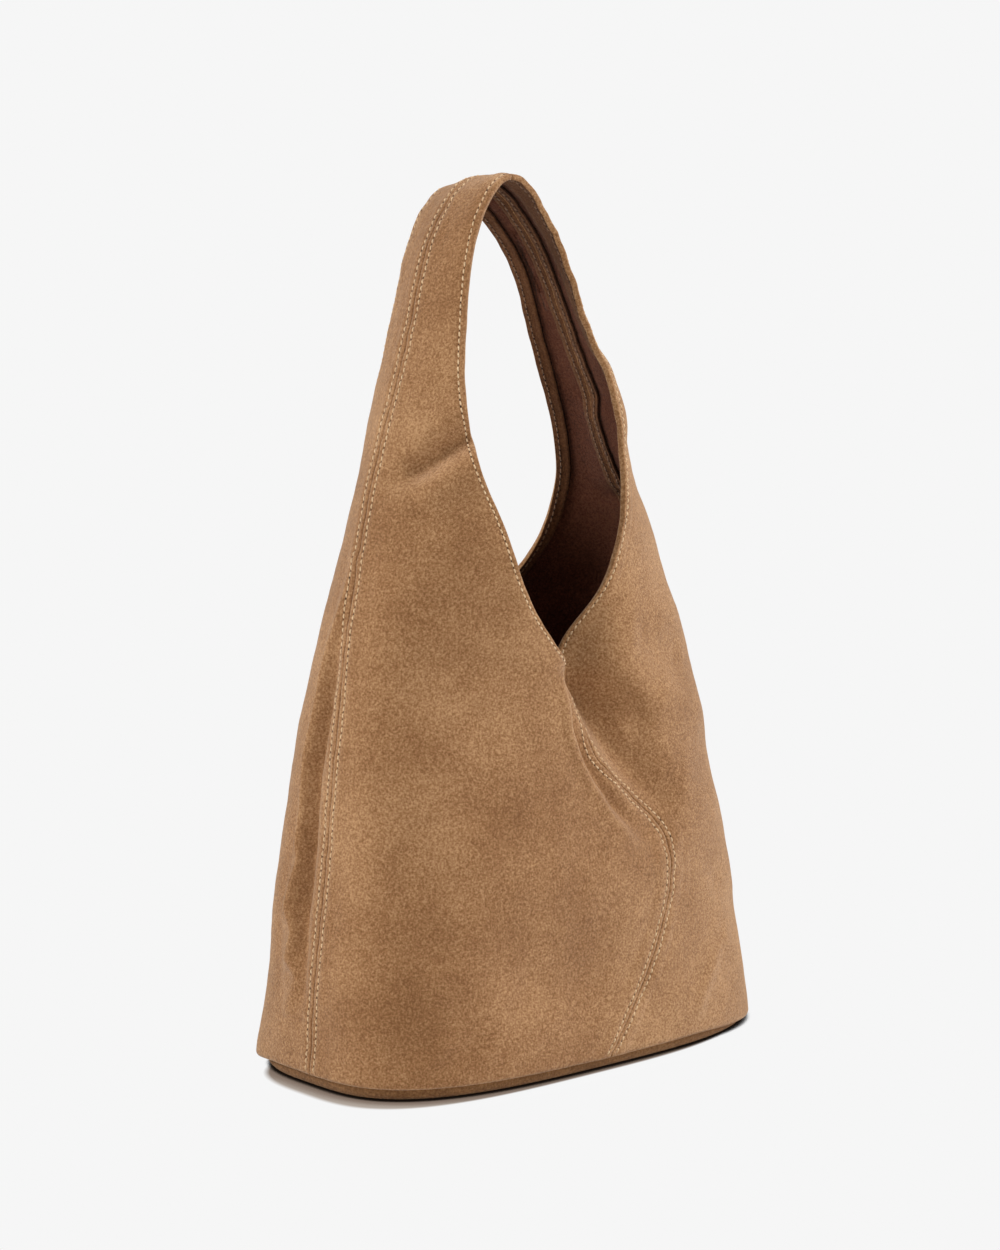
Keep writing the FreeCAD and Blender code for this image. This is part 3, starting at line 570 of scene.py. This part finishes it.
# ---- materials ----
class Nodes:
    """A small helper that adds linked nodes to a new material."""

    def __init__(self, name):
        self.material = bpy.data.materials.new(name)
        self.material.use_nodes = True
        self.tree = self.material.node_tree
        self.shader = self.tree.nodes["Principled BSDF"]
        self.place = self.add("ShaderNodeTexCoord").outputs["Object"]

    def add(self, kind, inputs=None, **settings):
        node = self.tree.nodes.new(kind)
        for key, value in settings.items():
            setattr(node, key, value)
        for key, value in (inputs or {}).items():
            self.set(node.inputs[key], value)
        return node

    def set(self, socket, value):
        if isinstance(value, bpy.types.NodeSocket):
            self.tree.links.new(value, socket)
        else:
            socket.default_value = value

    def coat(self, name, value):
        self.set(self.shader.inputs[name], value)

    def noise(self, scale, detail=2.0, roughness=0.5, distortion=0.0):
        inputs = {"Vector": self.place, "Scale": scale, "Detail": detail, "Roughness": roughness,
                  "Distortion": distortion}
        return self.add("ShaderNodeTexNoise", inputs).outputs["Fac"]

    def spread(self, value, low, high, to_low=0.0, to_high=1.0):
        node = self.add("ShaderNodeMapRange", {"Value": value, "From Min": low, "From Max": high,
                                               "To Min": to_low, "To Max": to_high})
        return node.outputs["Result"]

    def math(self, operation, a, b=0.0):
        node = self.add("ShaderNodeMath", operation=operation)
        self.set(node.inputs[0], a)
        self.set(node.inputs[1], b)
        return node.outputs[0]

    def mix(self, share, a, b):
        node = self.add("ShaderNodeMix", data_type="RGBA")
        self.set(node.inputs["Factor"], share)
        self.set(node.inputs[6], a)
        self.set(node.inputs[7], b)
        return node.outputs[2]

    def openness(self, distance, low, high):
        node = self.add("ShaderNodeAmbientOcclusion", {"Distance": distance})
        node.samples = 8
        return self.spread(node.outputs["AO"], low, high)

    def bump(self, height, strength, distance, normal=None):
        inputs = {"Height": height, "Strength": strength, "Distance": distance}
        if normal is not None:
            inputs["Normal"] = normal
        return self.add("ShaderNodeBump", inputs).outputs["Normal"]


def colour(red, green, blue):
    """Display colour, 0 to 255, as linear RGBA."""
    values = [c / 255.0 for c in (red, green, blue)]
    linear = [c / 12.92 if c < 0.04045 else ((c + 0.055) / 1.055) ** 2.4 for c in values]
    return (*linear, 1.0)


# how much of the suede's light and dark comes from each layer
BROAD_SHARE, BRUSHED_SHARE, MOTTLE_SHARE, GRAIN_SHARE = 0.2, 0.16, 0.09, 0.55


def suede(name, dark, middle, light, nap=1.0, fuzz=0.45, fuzz_colour=colour(236, 222, 204)):
    """Napped suede: broad brushed patches, a faint mottle and a fine grain."""
    n = Nodes(name)
    broad = n.spread(n.noise(9.0, 1.5, 0.5, 0.3), 0.3, 0.7)
    brushed = n.spread(n.noise(30.0, 2.5, 0.5, 0.2), 0.3, 0.7)
    mottle = n.spread(n.noise(160.0, 3.0, 0.6), 0.3, 0.7)
    grain = n.spread(n.noise(780.0, 4.0, 0.75), 0.36, 0.64)
    shade = n.math("ADD", n.math("MULTIPLY", broad, BROAD_SHARE),
                   n.math("MULTIPLY", brushed, BRUSHED_SHARE))
    shade = n.math("ADD", shade, n.math("MULTIPLY", mottle, MOTTLE_SHARE))
    shade = n.math("ADD", shade, n.math("MULTIPLY", grain, GRAIN_SHARE))
    tone = n.mix(n.spread(shade, 0.2, 0.5), dark, middle)
    tone = n.mix(n.spread(shade, 0.5, 0.8), tone, light)
    n.coat("Base Color", tone)
    n.coat("Roughness", n.spread(mottle, 0.0, 1.0, 0.9, 1.0))
    n.coat("Specular IOR Level", 0.1)
    n.coat("Sheen Weight", fuzz)
    n.coat("Sheen Roughness", 0.45)
    n.coat("Sheen Tint", fuzz_colour)
    coarse = n.bump(n.noise(230.0, 3.0, 0.6), 0.13 * nap, 0.0010)
    n.coat("Normal", n.bump(grain, 0.5 * nap, 0.0005, coarse))
    return n.material


def thread_material(name, low, high):
    n = Nodes(name)
    twist = n.noise(1500.0, 2.0, 0.6)
    n.coat("Base Color", n.mix(n.spread(twist, 0.35, 0.65), low, high))
    n.coat("Roughness", 0.7)
    n.coat("Sheen Weight", 0.2)
    n.coat("Normal", n.bump(twist, 0.5, 0.0003))
    return n.material


def flat(name, low, high, roughness=0.9):
    n = Nodes(name)
    n.coat("Base Color", n.mix(n.noise(400.0, 2.0), low, high))
    n.coat("Roughness", roughness)
    return n.material


def woven(name, dark, light, threads, roughness=0.85):
    """Plain cloth: two crossing sets of threads, a little uneven."""
    n = Nodes(name)
    uneven = n.noise(260.0, 3.0, 0.6)
    waves = []
    for way in ("X", "Z"):
        wave = n.add("ShaderNodeTexWave", {"Vector": n.place, "Scale": threads, "Distortion": 0.6,
                                           "Detail": 1.0, "Detail Scale": 2.0},
                     bands_direction=way)
        waves.append(wave.outputs["Fac"])
    weave = n.math("MAXIMUM", waves[0], waves[1])
    shade = n.math("ADD", n.math("MULTIPLY", weave, 0.6), n.math("MULTIPLY", uneven, 0.4))
    n.coat("Base Color", n.mix(n.spread(shade, 0.3, 0.8), dark, light))
    n.coat("Roughness", roughness)
    n.coat("Sheen Weight", 0.2)
    n.coat("Normal", n.bump(weave, 0.5, 0.0004))
    return n.material


def metal(name, dark, light, roughness):
    """Cast and tumbled metal, a little worn and smudged."""
    n = Nodes(name)
    wear = n.noise(180.0, 4.0, 0.6)
    scratches = n.noise(1400.0, 2.0, 0.7, 1.5)
    n.coat("Base Color", n.mix(n.spread(wear, 0.35, 0.65), dark, light))
    n.coat("Metallic", 1.0)
    n.coat("Roughness", n.spread(wear, 0.3, 0.7, roughness, roughness + 0.18))
    n.coat("Normal", n.bump(scratches, 0.12, 0.0002))
    return n.material


def pressed_board(name):
    """Grey-brown fibre board with specks."""
    n = Nodes(name)
    specks = n.spread(n.noise(700.0, 3.0, 0.8), 0.35, 0.65)
    n.coat("Base Color", n.mix(specks, colour(92, 78, 64), colour(128, 112, 94)))
    n.coat("Roughness", 0.92)
    n.coat("Normal", n.bump(specks, 0.3, 0.0004))
    return n.material


tan = suede("suede_tan", colour(124, 84, 51), colour(156, 113, 75), colour(190, 148, 106))
flesh = suede("suede_flesh", colour(68, 35, 23), colour(92, 51, 35), colour(114, 69, 49), 1.5, 0.08)
# The turned flaps show the walls' tan suede inside the bag. This darker copy of it is painted shade
# for the shadowed inside.
turned = suede("suede_turned_painted_shade", colour(80, 48, 28), colour(98, 62, 38), colour(120, 80, 51),
               1.2, 0.1)
# The flaps' raw edges are coloured near black: painted shade for the dark line that the lifted flap
# edge throws on the inside.
shaded_raw_edge = suede("suede_raw_edge_painted_shade", colour(44, 27, 20), colour(62, 38, 27), colour(84, 54, 38),
                 1.5, 0.0)
# The foot is the walls' tan suede coloured darker: painted shade for the band in shadow under the
# walls.
shaded_base_suede = suede("suede_base", colour(104, 70, 43), colour(130, 92, 58), colour(154, 114, 76),
                   1.2, 0.15)
thread = thread_material("stitch_thread", colour(194, 156, 112), colour(236, 208, 166))
# The stitches inside are the same cream thread. This darker colour is painted shade for the
# shadowed inside of the bag.
inner_thread_shade = thread_material("inner_thread_painted_shade", colour(112, 78, 50), colour(142, 104, 70))
# Needle holes are recesses. Their dark colour on a flat disc is painted shade.
hole_shade = flat("needle_hole_painted_shade", colour(46, 27, 15), colour(66, 40, 24))
cotton = woven("pocket_cotton", colour(116, 92, 68), colour(160, 134, 104), 900.0)
tape = woven("zip_tape", colour(70, 50, 34), colour(108, 80, 56), 1500.0)
brass = metal("brass", colour(160, 122, 62), colour(214, 178, 106), 0.26)
steel = metal("magnet_steel", colour(150, 148, 144), colour(204, 202, 198), 0.22)
board = pressed_board("pressed_board")

# ---- the walls and strap ----
sheets = {name: Sheet(name) for name in QUARTERS}
THREADS = [thread, hole_shade, inner_thread_shade, hole_shade]


def bend_with_strap(piece):
    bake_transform(piece)


for name, sheet in sheets.items():
    piece = sheet_piece(sheet, [tan, flesh, shaded_raw_edge, turned])
    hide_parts(name + "_panel", "strap_" + name)
    bend_with_strap(piece)


def both_faces(sheet, from_end):
    """The lines of one row of stitches: outside, and on the allowance inside in a darker thread
    colour that is painted shade.
    """
    points, normals = sheet.column(STITCH_OFFSET, from_end)
    first = sheet.first_wall_row
    points, normals = points[first:], normals[first:]
    return [(points, normals, 0), (points - normals * 2.0 * SUEDE, -normals, 2)]


for side_name in ("left", "right"):
    front, back = sheets["front_" + side_name], sheets["back_" + side_name]
    lines = both_faces(front, False) + both_faces(back, False)
    piece = stitch_rows("stitches_side_" + side_name, lines, THREADS)
    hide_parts("side_seam_thread_" + side_name, "strap_seam_thread")
    bend_with_strap(piece)
for face_name in ("front", "back"):
    for side_name in ("left", "right"):
        lines = both_faces(sheets[face_name + "_" + side_name], True)
        piece = stitch_rows("stitches_edge_%s_%s" % (face_name, side_name), lines, THREADS)
        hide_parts("hem_thread_%s_%s" % (face_name, side_name),
                    "centre_seam_thread_" + face_name, "strap_hem_thread_" + face_name)
        bend_with_strap(piece)


# ---- the foot ----
FOOT_SIDES = 160


def foot_outline(inset):
    """The foot's outline, moved inwards, as FOOT_SIDES points."""
    angle = np.linspace(0.0, 2.0 * math.pi, FOOT_SIDES, endpoint=False)
    front = np.sin(angle) < 0.0
    squareness = np.where(front, SQUARENESS["front"][0][1], SQUARENESS["back"][0][1])
    depth = np.where(front, eased(DEPTH["front"], FOOT_HEIGHT), eased(DEPTH["back"], FOOT_HEIGHT))
    x, y = Quarter.superellipse(angle, squareness)
    return np.stack([(HALF_WIDTH - inset) * x, (depth - inset) * y], 1)


# the foot's section, as (inset, height), from its underside to the edge hidden by the walls
FOOT_PROFILE = ((60.0, 0.0), (12.0, 0.0), (7.0, 0.1), (4.6, 0.9), (3.2, 2.4), (2.6, 4.5),
                (2.4, 7.5), (3.1, 13.0))


def foot_piece():
    """The base panel: a shallow suede tray that closes the bag below."""
    outer = list(FOOT_PROFILE)
    inner = [(inset + SUEDE, max(z, SUEDE)) for inset, z in reversed(FOOT_PROFILE)]
    rings = outer + inner
    count = FOOT_SIDES
    points = [np.column_stack([foot_outline(inset), np.full(count, z)]) for inset, z in rings]
    faces = []
    total = len(rings)
    for r in range(total - 1):
        for i in range(count):
            k = (i + 1) % count
            faces.append((r * count + i, r * count + k, (r + 1) * count + k, (r + 1) * count + i))
    faces.append(tuple(range(count)))
    faces.append(tuple((total - 1) * count + i for i in range(count - 1, -1, -1)))
    piece = mesh_object("foot_suede", np.concatenate(points), faces, [shaded_base_suede])
    fix_normals(piece)
    return piece


piece = foot_piece()
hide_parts("base_panel")
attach(piece, "bag")

# ---- soft parts inside: thin cloth and suede sheets with rounded edges ----
RIM_STEPS = (0.0, 0.1, 0.3, 0.6, 1.0, 1.8, 3.0)
CLOTH_STEP, LEAST_STEPS = 1.5, 8
PATCH_LINE_POINTS, PATCH_LINE_SQUARENESS = 480, 7.0
PATCH_STITCH_SIZE, PATCH_STITCH_SLANT = 0.72, 0.05
QUAD = ((0, 0), (0, 1), (1, 1), (1, 0))


def line_places(half):
    """Places across a sheet, from -half to half, close together at its rims."""
    rim = np.array(RIM_STEPS)
    count = max(int(half / CLOTH_STEP), LEAST_STEPS)
    middle = np.linspace(-half + rim[-1], half - rim[-1], count)[1:-1]
    return np.concatenate([-half + rim, middle, half - rim[::-1]])


def place_in(points, seat):
    """Points from a sheet's own axes to the bag's: seat is (origin, across, up, out)."""
    origin, across, up, out = seat
    return origin + points[:, :1] * across + points[:, 1:2] * up + points[:, 2:3] * out


def cloth_patch(name, seat, half_width, half_height, corner, thickness, relief, materials,
                stitch_inset):
    """A rounded rectangle of cloth as a closed mesh with soft edges, and its edge's stitches."""
    x, y = np.meshgrid(line_places(half_width), line_places(half_height))
    dx = np.clip((abs(x) - half_width + corner) / corner, 0.0, 1.0)
    dy = np.clip((abs(y) - half_height + corner) / corner, 0.0, 1.0)
    turning = (dx > 0.0) & (dy > 0.0)
    most = np.maximum(dx, dy)
    scale = np.where(turning, most / np.sqrt(dx ** 2 + dy ** 2).clip(1e-6), 1.0)
    from_side = np.minimum(half_width - abs(x), half_height - abs(y))
    from_rim = np.where(turning, corner * (1.0 - most), from_side)
    x = np.where(turning, np.sign(x) * (half_width - corner + corner * dx * scale), x)
    y = np.where(turning, np.sign(y) * (half_height - corner + corner * dy * scale), y)
    half = 0.5 * thickness
    swell = half * np.sqrt(1.0 - (1.0 - np.clip(from_rim / half, 0.0, 1.0)) ** 2)
    lift = relief(x, y, from_rim)
    front = np.stack([x, y, lift + swell], -1).reshape(-1, 3)
    back = np.stack([x, y, lift - swell], -1)[1:-1, 1:-1].reshape(-1, 3)
    rows, columns = x.shape
    over = np.arange(rows * columns).reshape(rows, columns)
    under = over.copy()
    under[1:-1, 1:-1] = rows * columns + np.arange(len(back)).reshape(rows - 2, columns - 2)
    faces = []
    for j in range(rows - 1):
        for i in range(columns - 1):
            for grid, ends in ((over, QUAD), (under, QUAD[:1] + QUAD[:0:-1])):
                faces.append(tuple(int(grid[j + a, i + b]) for a, b in ends))
    points = place_in(np.concatenate([front, back]), seat)
    kinds = [0] * len(faces)
    if stitch_inset > 0.0:
        count = PATCH_LINE_POINTS
        angle = np.linspace(0.0, 2.0 * math.pi, count)
        ox, oy = Quarter.superellipse(angle, np.full(count, PATCH_LINE_SQUARENESS))
        ox, oy = ox * (half_width - stitch_inset), oy * (half_height - stitch_inset)
        line = np.stack([ox, oy, relief(ox, oy, np.full(count, stitch_inset)) + half], -1)
        line = place_in(line, seat)
        normals = np.tile(seat[3], (count, 1))
        centres = resample(line, normals, STITCH_PITCH * PATCH_STITCH_SIZE)
        vertices, more, stitch_kinds = stitch_mesh(*centres, PATCH_STITCH_SLANT, PATCH_STITCH_SIZE)
        base = len(points)
        points = np.concatenate([points, np.array(vertices)])
        faces += [tuple(i + base for i in face) for face in more]
        kinds += [1 + kind for kind in stitch_kinds]
    piece = mesh_object(name, points, faces, materials, kinds)
    fix_normals(piece)
    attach(piece, "bag")
    return piece


def millimetres(vector):
    return np.array(vector, float) / MM


def upright_seat(node):
    """The seat of an upright sheet that faces the front: its middle and its axes, from its box."""
    low, high = (millimetres(corner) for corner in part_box(node))
    across, up, out_way = np.array(((1.0, 0.0, 0.0), (0.0, 0.0, 1.0), (0.0, -1.0, 0.0)))
    width, thickness, height = high - low
    return (0.5 * (low + high), across, up, out_way), 0.5 * width, 0.5 * height, thickness


def calm(x, y, from_rim):
    return 0.0 * x


def wavy(amount, size, seed):
    def relief(x, y, from_rim):
        flat_points = np.stack([x, y, 0.0 * x], -1)
        return amount * rough(flat_points, size, seed) * ramp(0.0, 6.0, from_rim)
    return relief


def pouch(x, y, from_rim):
    """The pocket's front sags forward, most in its lower half, and gathers near its seams."""
    belly = 3.4 * ramp(0.0, 30.0, from_rim) * (1.0 - 0.4 * ramp(-20.0, 46.0, y))
    return belly + 0.9 * rough(np.stack([x, y, 0.0 * x], -1), 17.0, 8.0) * ramp(0.0, 5.0, from_rim)


for node, corner, relief, material, slot_name, inset in (
        ("pocket_front_sheet", 14.0, pouch, cotton, "pocket_cotton", 4.0),
        ("pocket_back_sheet", 14.0, wavy(0.5, 22.0, 9.0), cotton, "pocket_cotton", 4.0),
        ("pocket_hanger", 1.5, wavy(0.4, 14.0, 10.0), cotton, "pocket_cotton", 3.0),
        ("zip_tape_upper", 0.8, calm, tape, "zip_tape", 0.0),
        ("zip_tape_lower", 0.8, calm, tape, "zip_tape", 0.0)):
    seat, half_width, half_height, thickness = upright_seat(node)
    piece = cloth_patch("soft_" + node, seat, half_width, half_height, corner, thickness, relief,
                        [material, thread, hole_shade], inset)
    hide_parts(node)

TAB_HALF_WIDTH, TAB_HALF_HEIGHT, TAB_THICKNESS = 13.0, 15.0, 1.4
TAB_CORNER, TAB_STITCH_INSET = 5.0, 2.6
# each patch: the middle of its top, the middle of its bottom, and the side of the bag it is on
TAB_PLACES = {"front": ((14.0, -30.0, 212.0), (20.0, -39.5, 182.0), -1.0),
              "back": ((-4.0, 70.5, 217.0), (-4.0, 70.5, 187.0), 1.0)}
for face_name, (top, bottom, face) in TAB_PLACES.items():
    top, bottom = np.array(top), np.array(bottom)
    up = unit(top - bottom)
    inward = np.array([0.0, -face, 0.0])
    out_way = unit(inward - up * (inward @ up))
    middle = top - up * TAB_HALF_HEIGHT + out_way * 0.5 * TAB_THICKNESS
    seat = (middle, np.cross(up, out_way), up, out_way)
    piece = cloth_patch("soft_closure_tab_" + face_name, seat, TAB_HALF_WIDTH, TAB_HALF_HEIGHT,
                        TAB_CORNER, TAB_THICKNESS, wavy(0.3, 9.0, 12.0 + face),
                        [tan, thread, hole_shade], TAB_STITCH_INSET)
    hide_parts("closure_tab_" + face_name)


LINER_RIM = (0.975, 0.985, 0.992, 0.997, 1.0)
LINER_SHARES = np.concatenate([[0.0], np.linspace(0.1, 0.96, 20), LINER_RIM])
LINER_SHORT_RADIUS, LINER_FLAT_RIM = 60.0, 8.0
LINER_RUMPLE = (0.5, 34.0, 15.0)  # amount, size, seed


def liner_piece():
    """The cotton liner of the base, cut to the foot's outline and slightly rumpled."""
    low, high = (millimetres(corner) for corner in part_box("base_liner"))
    count, shares = FOOT_SIDES, LINER_SHARES
    outline = foot_outline(HALF_WIDTH - high[0])
    amount, size, seed = LINER_RUMPLE
    half = 0.5 * (high[2] - low[2])
    points, rings = [], []
    for way in (1.0, -1.0):
        for share in (shares if way > 0.0 else shares[::-1][1:]):
            ring = outline * share if share > 0.0 else outline[:1] * 0.0
            rim = (1.0 - share) * LINER_SHORT_RADIUS
            swell = half * math.sqrt(1.0 - (1.0 - min(rim / half, 1.0)) ** 2)
            flat_points = np.column_stack([ring, np.zeros(len(ring))])
            lift = amount * rough(flat_points, size, seed) * min(rim / LINER_FLAT_RIM, 1.0)
            height = low[2] + half + way * swell + abs(lift)
            rings.append((sum(len(part) for part in points), len(ring)))
            points.append(np.column_stack([ring, height]))
    faces = []
    for (a, many_a), (b, many_b) in zip(rings, rings[1:]):
        for i in range(count):
            k = (i + 1) % count
            if many_a == 1:
                faces.append((a, b + i, b + k))
            elif many_b == 1:
                faces.append((a + i, b, a + k))
            else:
                faces.append((a + i, b + i, b + k, a + k))
    piece = mesh_object("soft_base_liner", np.concatenate(points), faces, [cotton])
    fix_normals(piece)
    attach(piece, "bag")
    return piece


piece = liner_piece()
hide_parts("base_liner")

# ---- hard parts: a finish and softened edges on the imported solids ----
FINISHES = {"base_board": (board, 0.3), "magnet_stud": (steel, 0.15),
            "magnet_socket": (steel, 0.15), "zip_teeth_upper": (brass, 0.12),
            "zip_teeth_lower": (brass, 0.12), "zip_stops": (brass, 0.12),
            "zip_slider": (brass, 0.2), "zip_puller": (brass, 0.25)}
for name, (material, edge) in FINISHES.items():
    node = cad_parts[name]
    node.data.materials.clear()
    node.data.materials.append(material)
    bevel = node.modifiers.new("soft_edges", "BEVEL")
    bevel.width, bevel.segments, bevel.limit_method = edge * MM, 2, "ANGLE"


# ---- studio ----
CAMERA_AZIMUTH, CAMERA_DISTANCE, CAMERA_HEIGHT = math.radians(-41.3), 2.0, 0.5593
CAMERA_PITCH, CAMERA_YAW = math.radians(-9.1), math.radians(0.28)
LENS, SENSOR = 104.256, 36.0
# the floor's painted shadow: its lean from the foot's box in metres, how far it is drawn in, and
# its squareness
SHADOW_LEAN, SHADOW_INSET, SHADOW_SQUARENESS = (-0.016, -0.008), 0.005, 3.2
PAPER = colour(246, 246, 246)
WORLD_STRENGTH = 0.42
# each light: its azimuth and elevation in degrees, its strength, and its softness in degrees
SUNS = {"key": ((60.0, 44.0), 2.75, 26.0), "side": ((-122.0, 40.0), 2.1, 36.0)}
FLOOR_CORNERS = ((-60.0, -100.0, 0.0), (140.0, -100.0, 0.0), (140.0, 100.0, 0.0),
                 (-60.0, 100.0, 0.0))  # metres; off centre, so that its diagonal stays out of sight
FLOOR_DROP = 0.0002


def add_camera():
    camera = bpy.data.cameras.new("camera")
    camera.lens, camera.sensor_width, camera.sensor_fit = LENS, SENSOR, "AUTO"
    camera.clip_end = 200.0
    seat = bpy.data.objects.new("camera", camera)
    seat.location = (math.sin(CAMERA_AZIMUTH) * CAMERA_DISTANCE,
                     -math.cos(CAMERA_AZIMUTH) * CAMERA_DISTANCE, CAMERA_HEIGHT)
    seat.rotation_euler = (math.radians(90.0) + CAMERA_PITCH, 0.0, CAMERA_AZIMUTH + CAMERA_YAW)
    bpy.context.scene.collection.objects.link(seat)
    bpy.context.scene.camera = seat


def add_sun(name, direction, strength, softness):
    """A soft light shining from a direction, given as azimuth and elevation in degrees."""
    light = bpy.data.lights.new(name, "SUN")
    light.energy, light.angle = strength, math.radians(softness)
    seat = bpy.data.objects.new(name, light)
    azimuth, elevation = (math.radians(a) for a in direction)
    level = math.cos(elevation)
    towards = Vector((math.sin(azimuth) * level, -math.cos(azimuth) * level, math.sin(elevation)))
    seat.rotation_euler = towards.to_track_quat("Z", "Y").to_euler()
    bpy.context.scene.collection.objects.link(seat)


def floor_material():
    """White paper with a painted shadow of the foot, narrow and leaning to the left and the front,
    which the camera sees as the floor's glow.
    """
    n = Nodes("floor_paper_painted_shadow")
    low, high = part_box("base_panel")
    place = n.add("ShaderNodeSeparateXYZ", {"Vector": n.place})
    reach = []
    for axis, lean in ((0, SHADOW_LEAN[0]), (1, SHADOW_LEAN[1])):
        middle = 0.5 * (low[axis] + high[axis]) + lean
        half = 0.5 * (high[axis] - low[axis]) - SHADOW_INSET
        share = n.math("DIVIDE", n.math("SUBTRACT", place.outputs[axis], middle), half)
        reach.append(n.math("POWER", n.math("ABSOLUTE", share), SHADOW_SQUARENESS))
    # Painted shadow: grey-brown inside the leaning outline, darker where ambient occlusion finds
    # the foot close, near black where the foot touches.
    outside = n.spread(n.math("ADD", reach[0], reach[1]), 0.97, 1.06)
    near = n.openness(0.012, 0.60, 0.92)
    tone = n.mix(near, colour(132, 116, 104), colour(178, 166, 156))
    tone = n.mix(outside, tone, PAPER)
    tone = n.mix(n.openness(0.005, 0.44, 0.66), colour(20, 14, 10), tone)
    # The camera sees this painted colour as emission; other rays meet a plain pale diffuse floor.
    paper_and_painted_shadow = n.add("ShaderNodeEmission", {"Color": tone})
    path = n.add("ShaderNodeLightPath")
    mix = n.add("ShaderNodeMixShader", {"Fac": path.outputs["Is Camera Ray"]})
    n.coat("Base Color", (0.86, 0.86, 0.86, 1.0))
    n.coat("Roughness", 1.0)
    n.tree.links.new(n.shader.outputs[0], mix.inputs[1])
    n.tree.links.new(paper_and_painted_shadow.outputs[0], mix.inputs[2])
    n.tree.links.new(mix.outputs[0], n.tree.nodes["Material Output"].inputs["Surface"])
    return n.material


def add_studio():
    """White surroundings, two soft lights and the paper the bag stands on."""
    world = bpy.data.worlds.new("studio")
    world.use_nodes = True
    tree = world.node_tree
    background = tree.nodes["Background"]
    seen = tree.nodes.new("ShaderNodeBackground")
    seen.inputs["Color"].default_value = PAPER
    background.inputs["Color"].default_value = (1.0, 1.0, 1.0, 1.0)
    background.inputs["Strength"].default_value = WORLD_STRENGTH
    path, mix = tree.nodes.new("ShaderNodeLightPath"), tree.nodes.new("ShaderNodeMixShader")
    tree.links.new(path.outputs["Is Camera Ray"], mix.inputs[0])
    tree.links.new(background.outputs[0], mix.inputs[1])
    tree.links.new(seen.outputs[0], mix.inputs[2])
    tree.links.new(mix.outputs[0], tree.nodes["World Output"].inputs["Surface"])
    bpy.context.scene.world = world
    for name, settings in SUNS.items():
        add_sun(name, *settings)
    bpy.context.scene.view_settings.view_transform = "Standard"
    floor = mesh_object("floor", np.array(FLOOR_CORNERS) / MM, [(0, 1, 2, 3)], [floor_material()])
    floor.location.z = -FLOOR_DROP


add_camera()
add_studio()
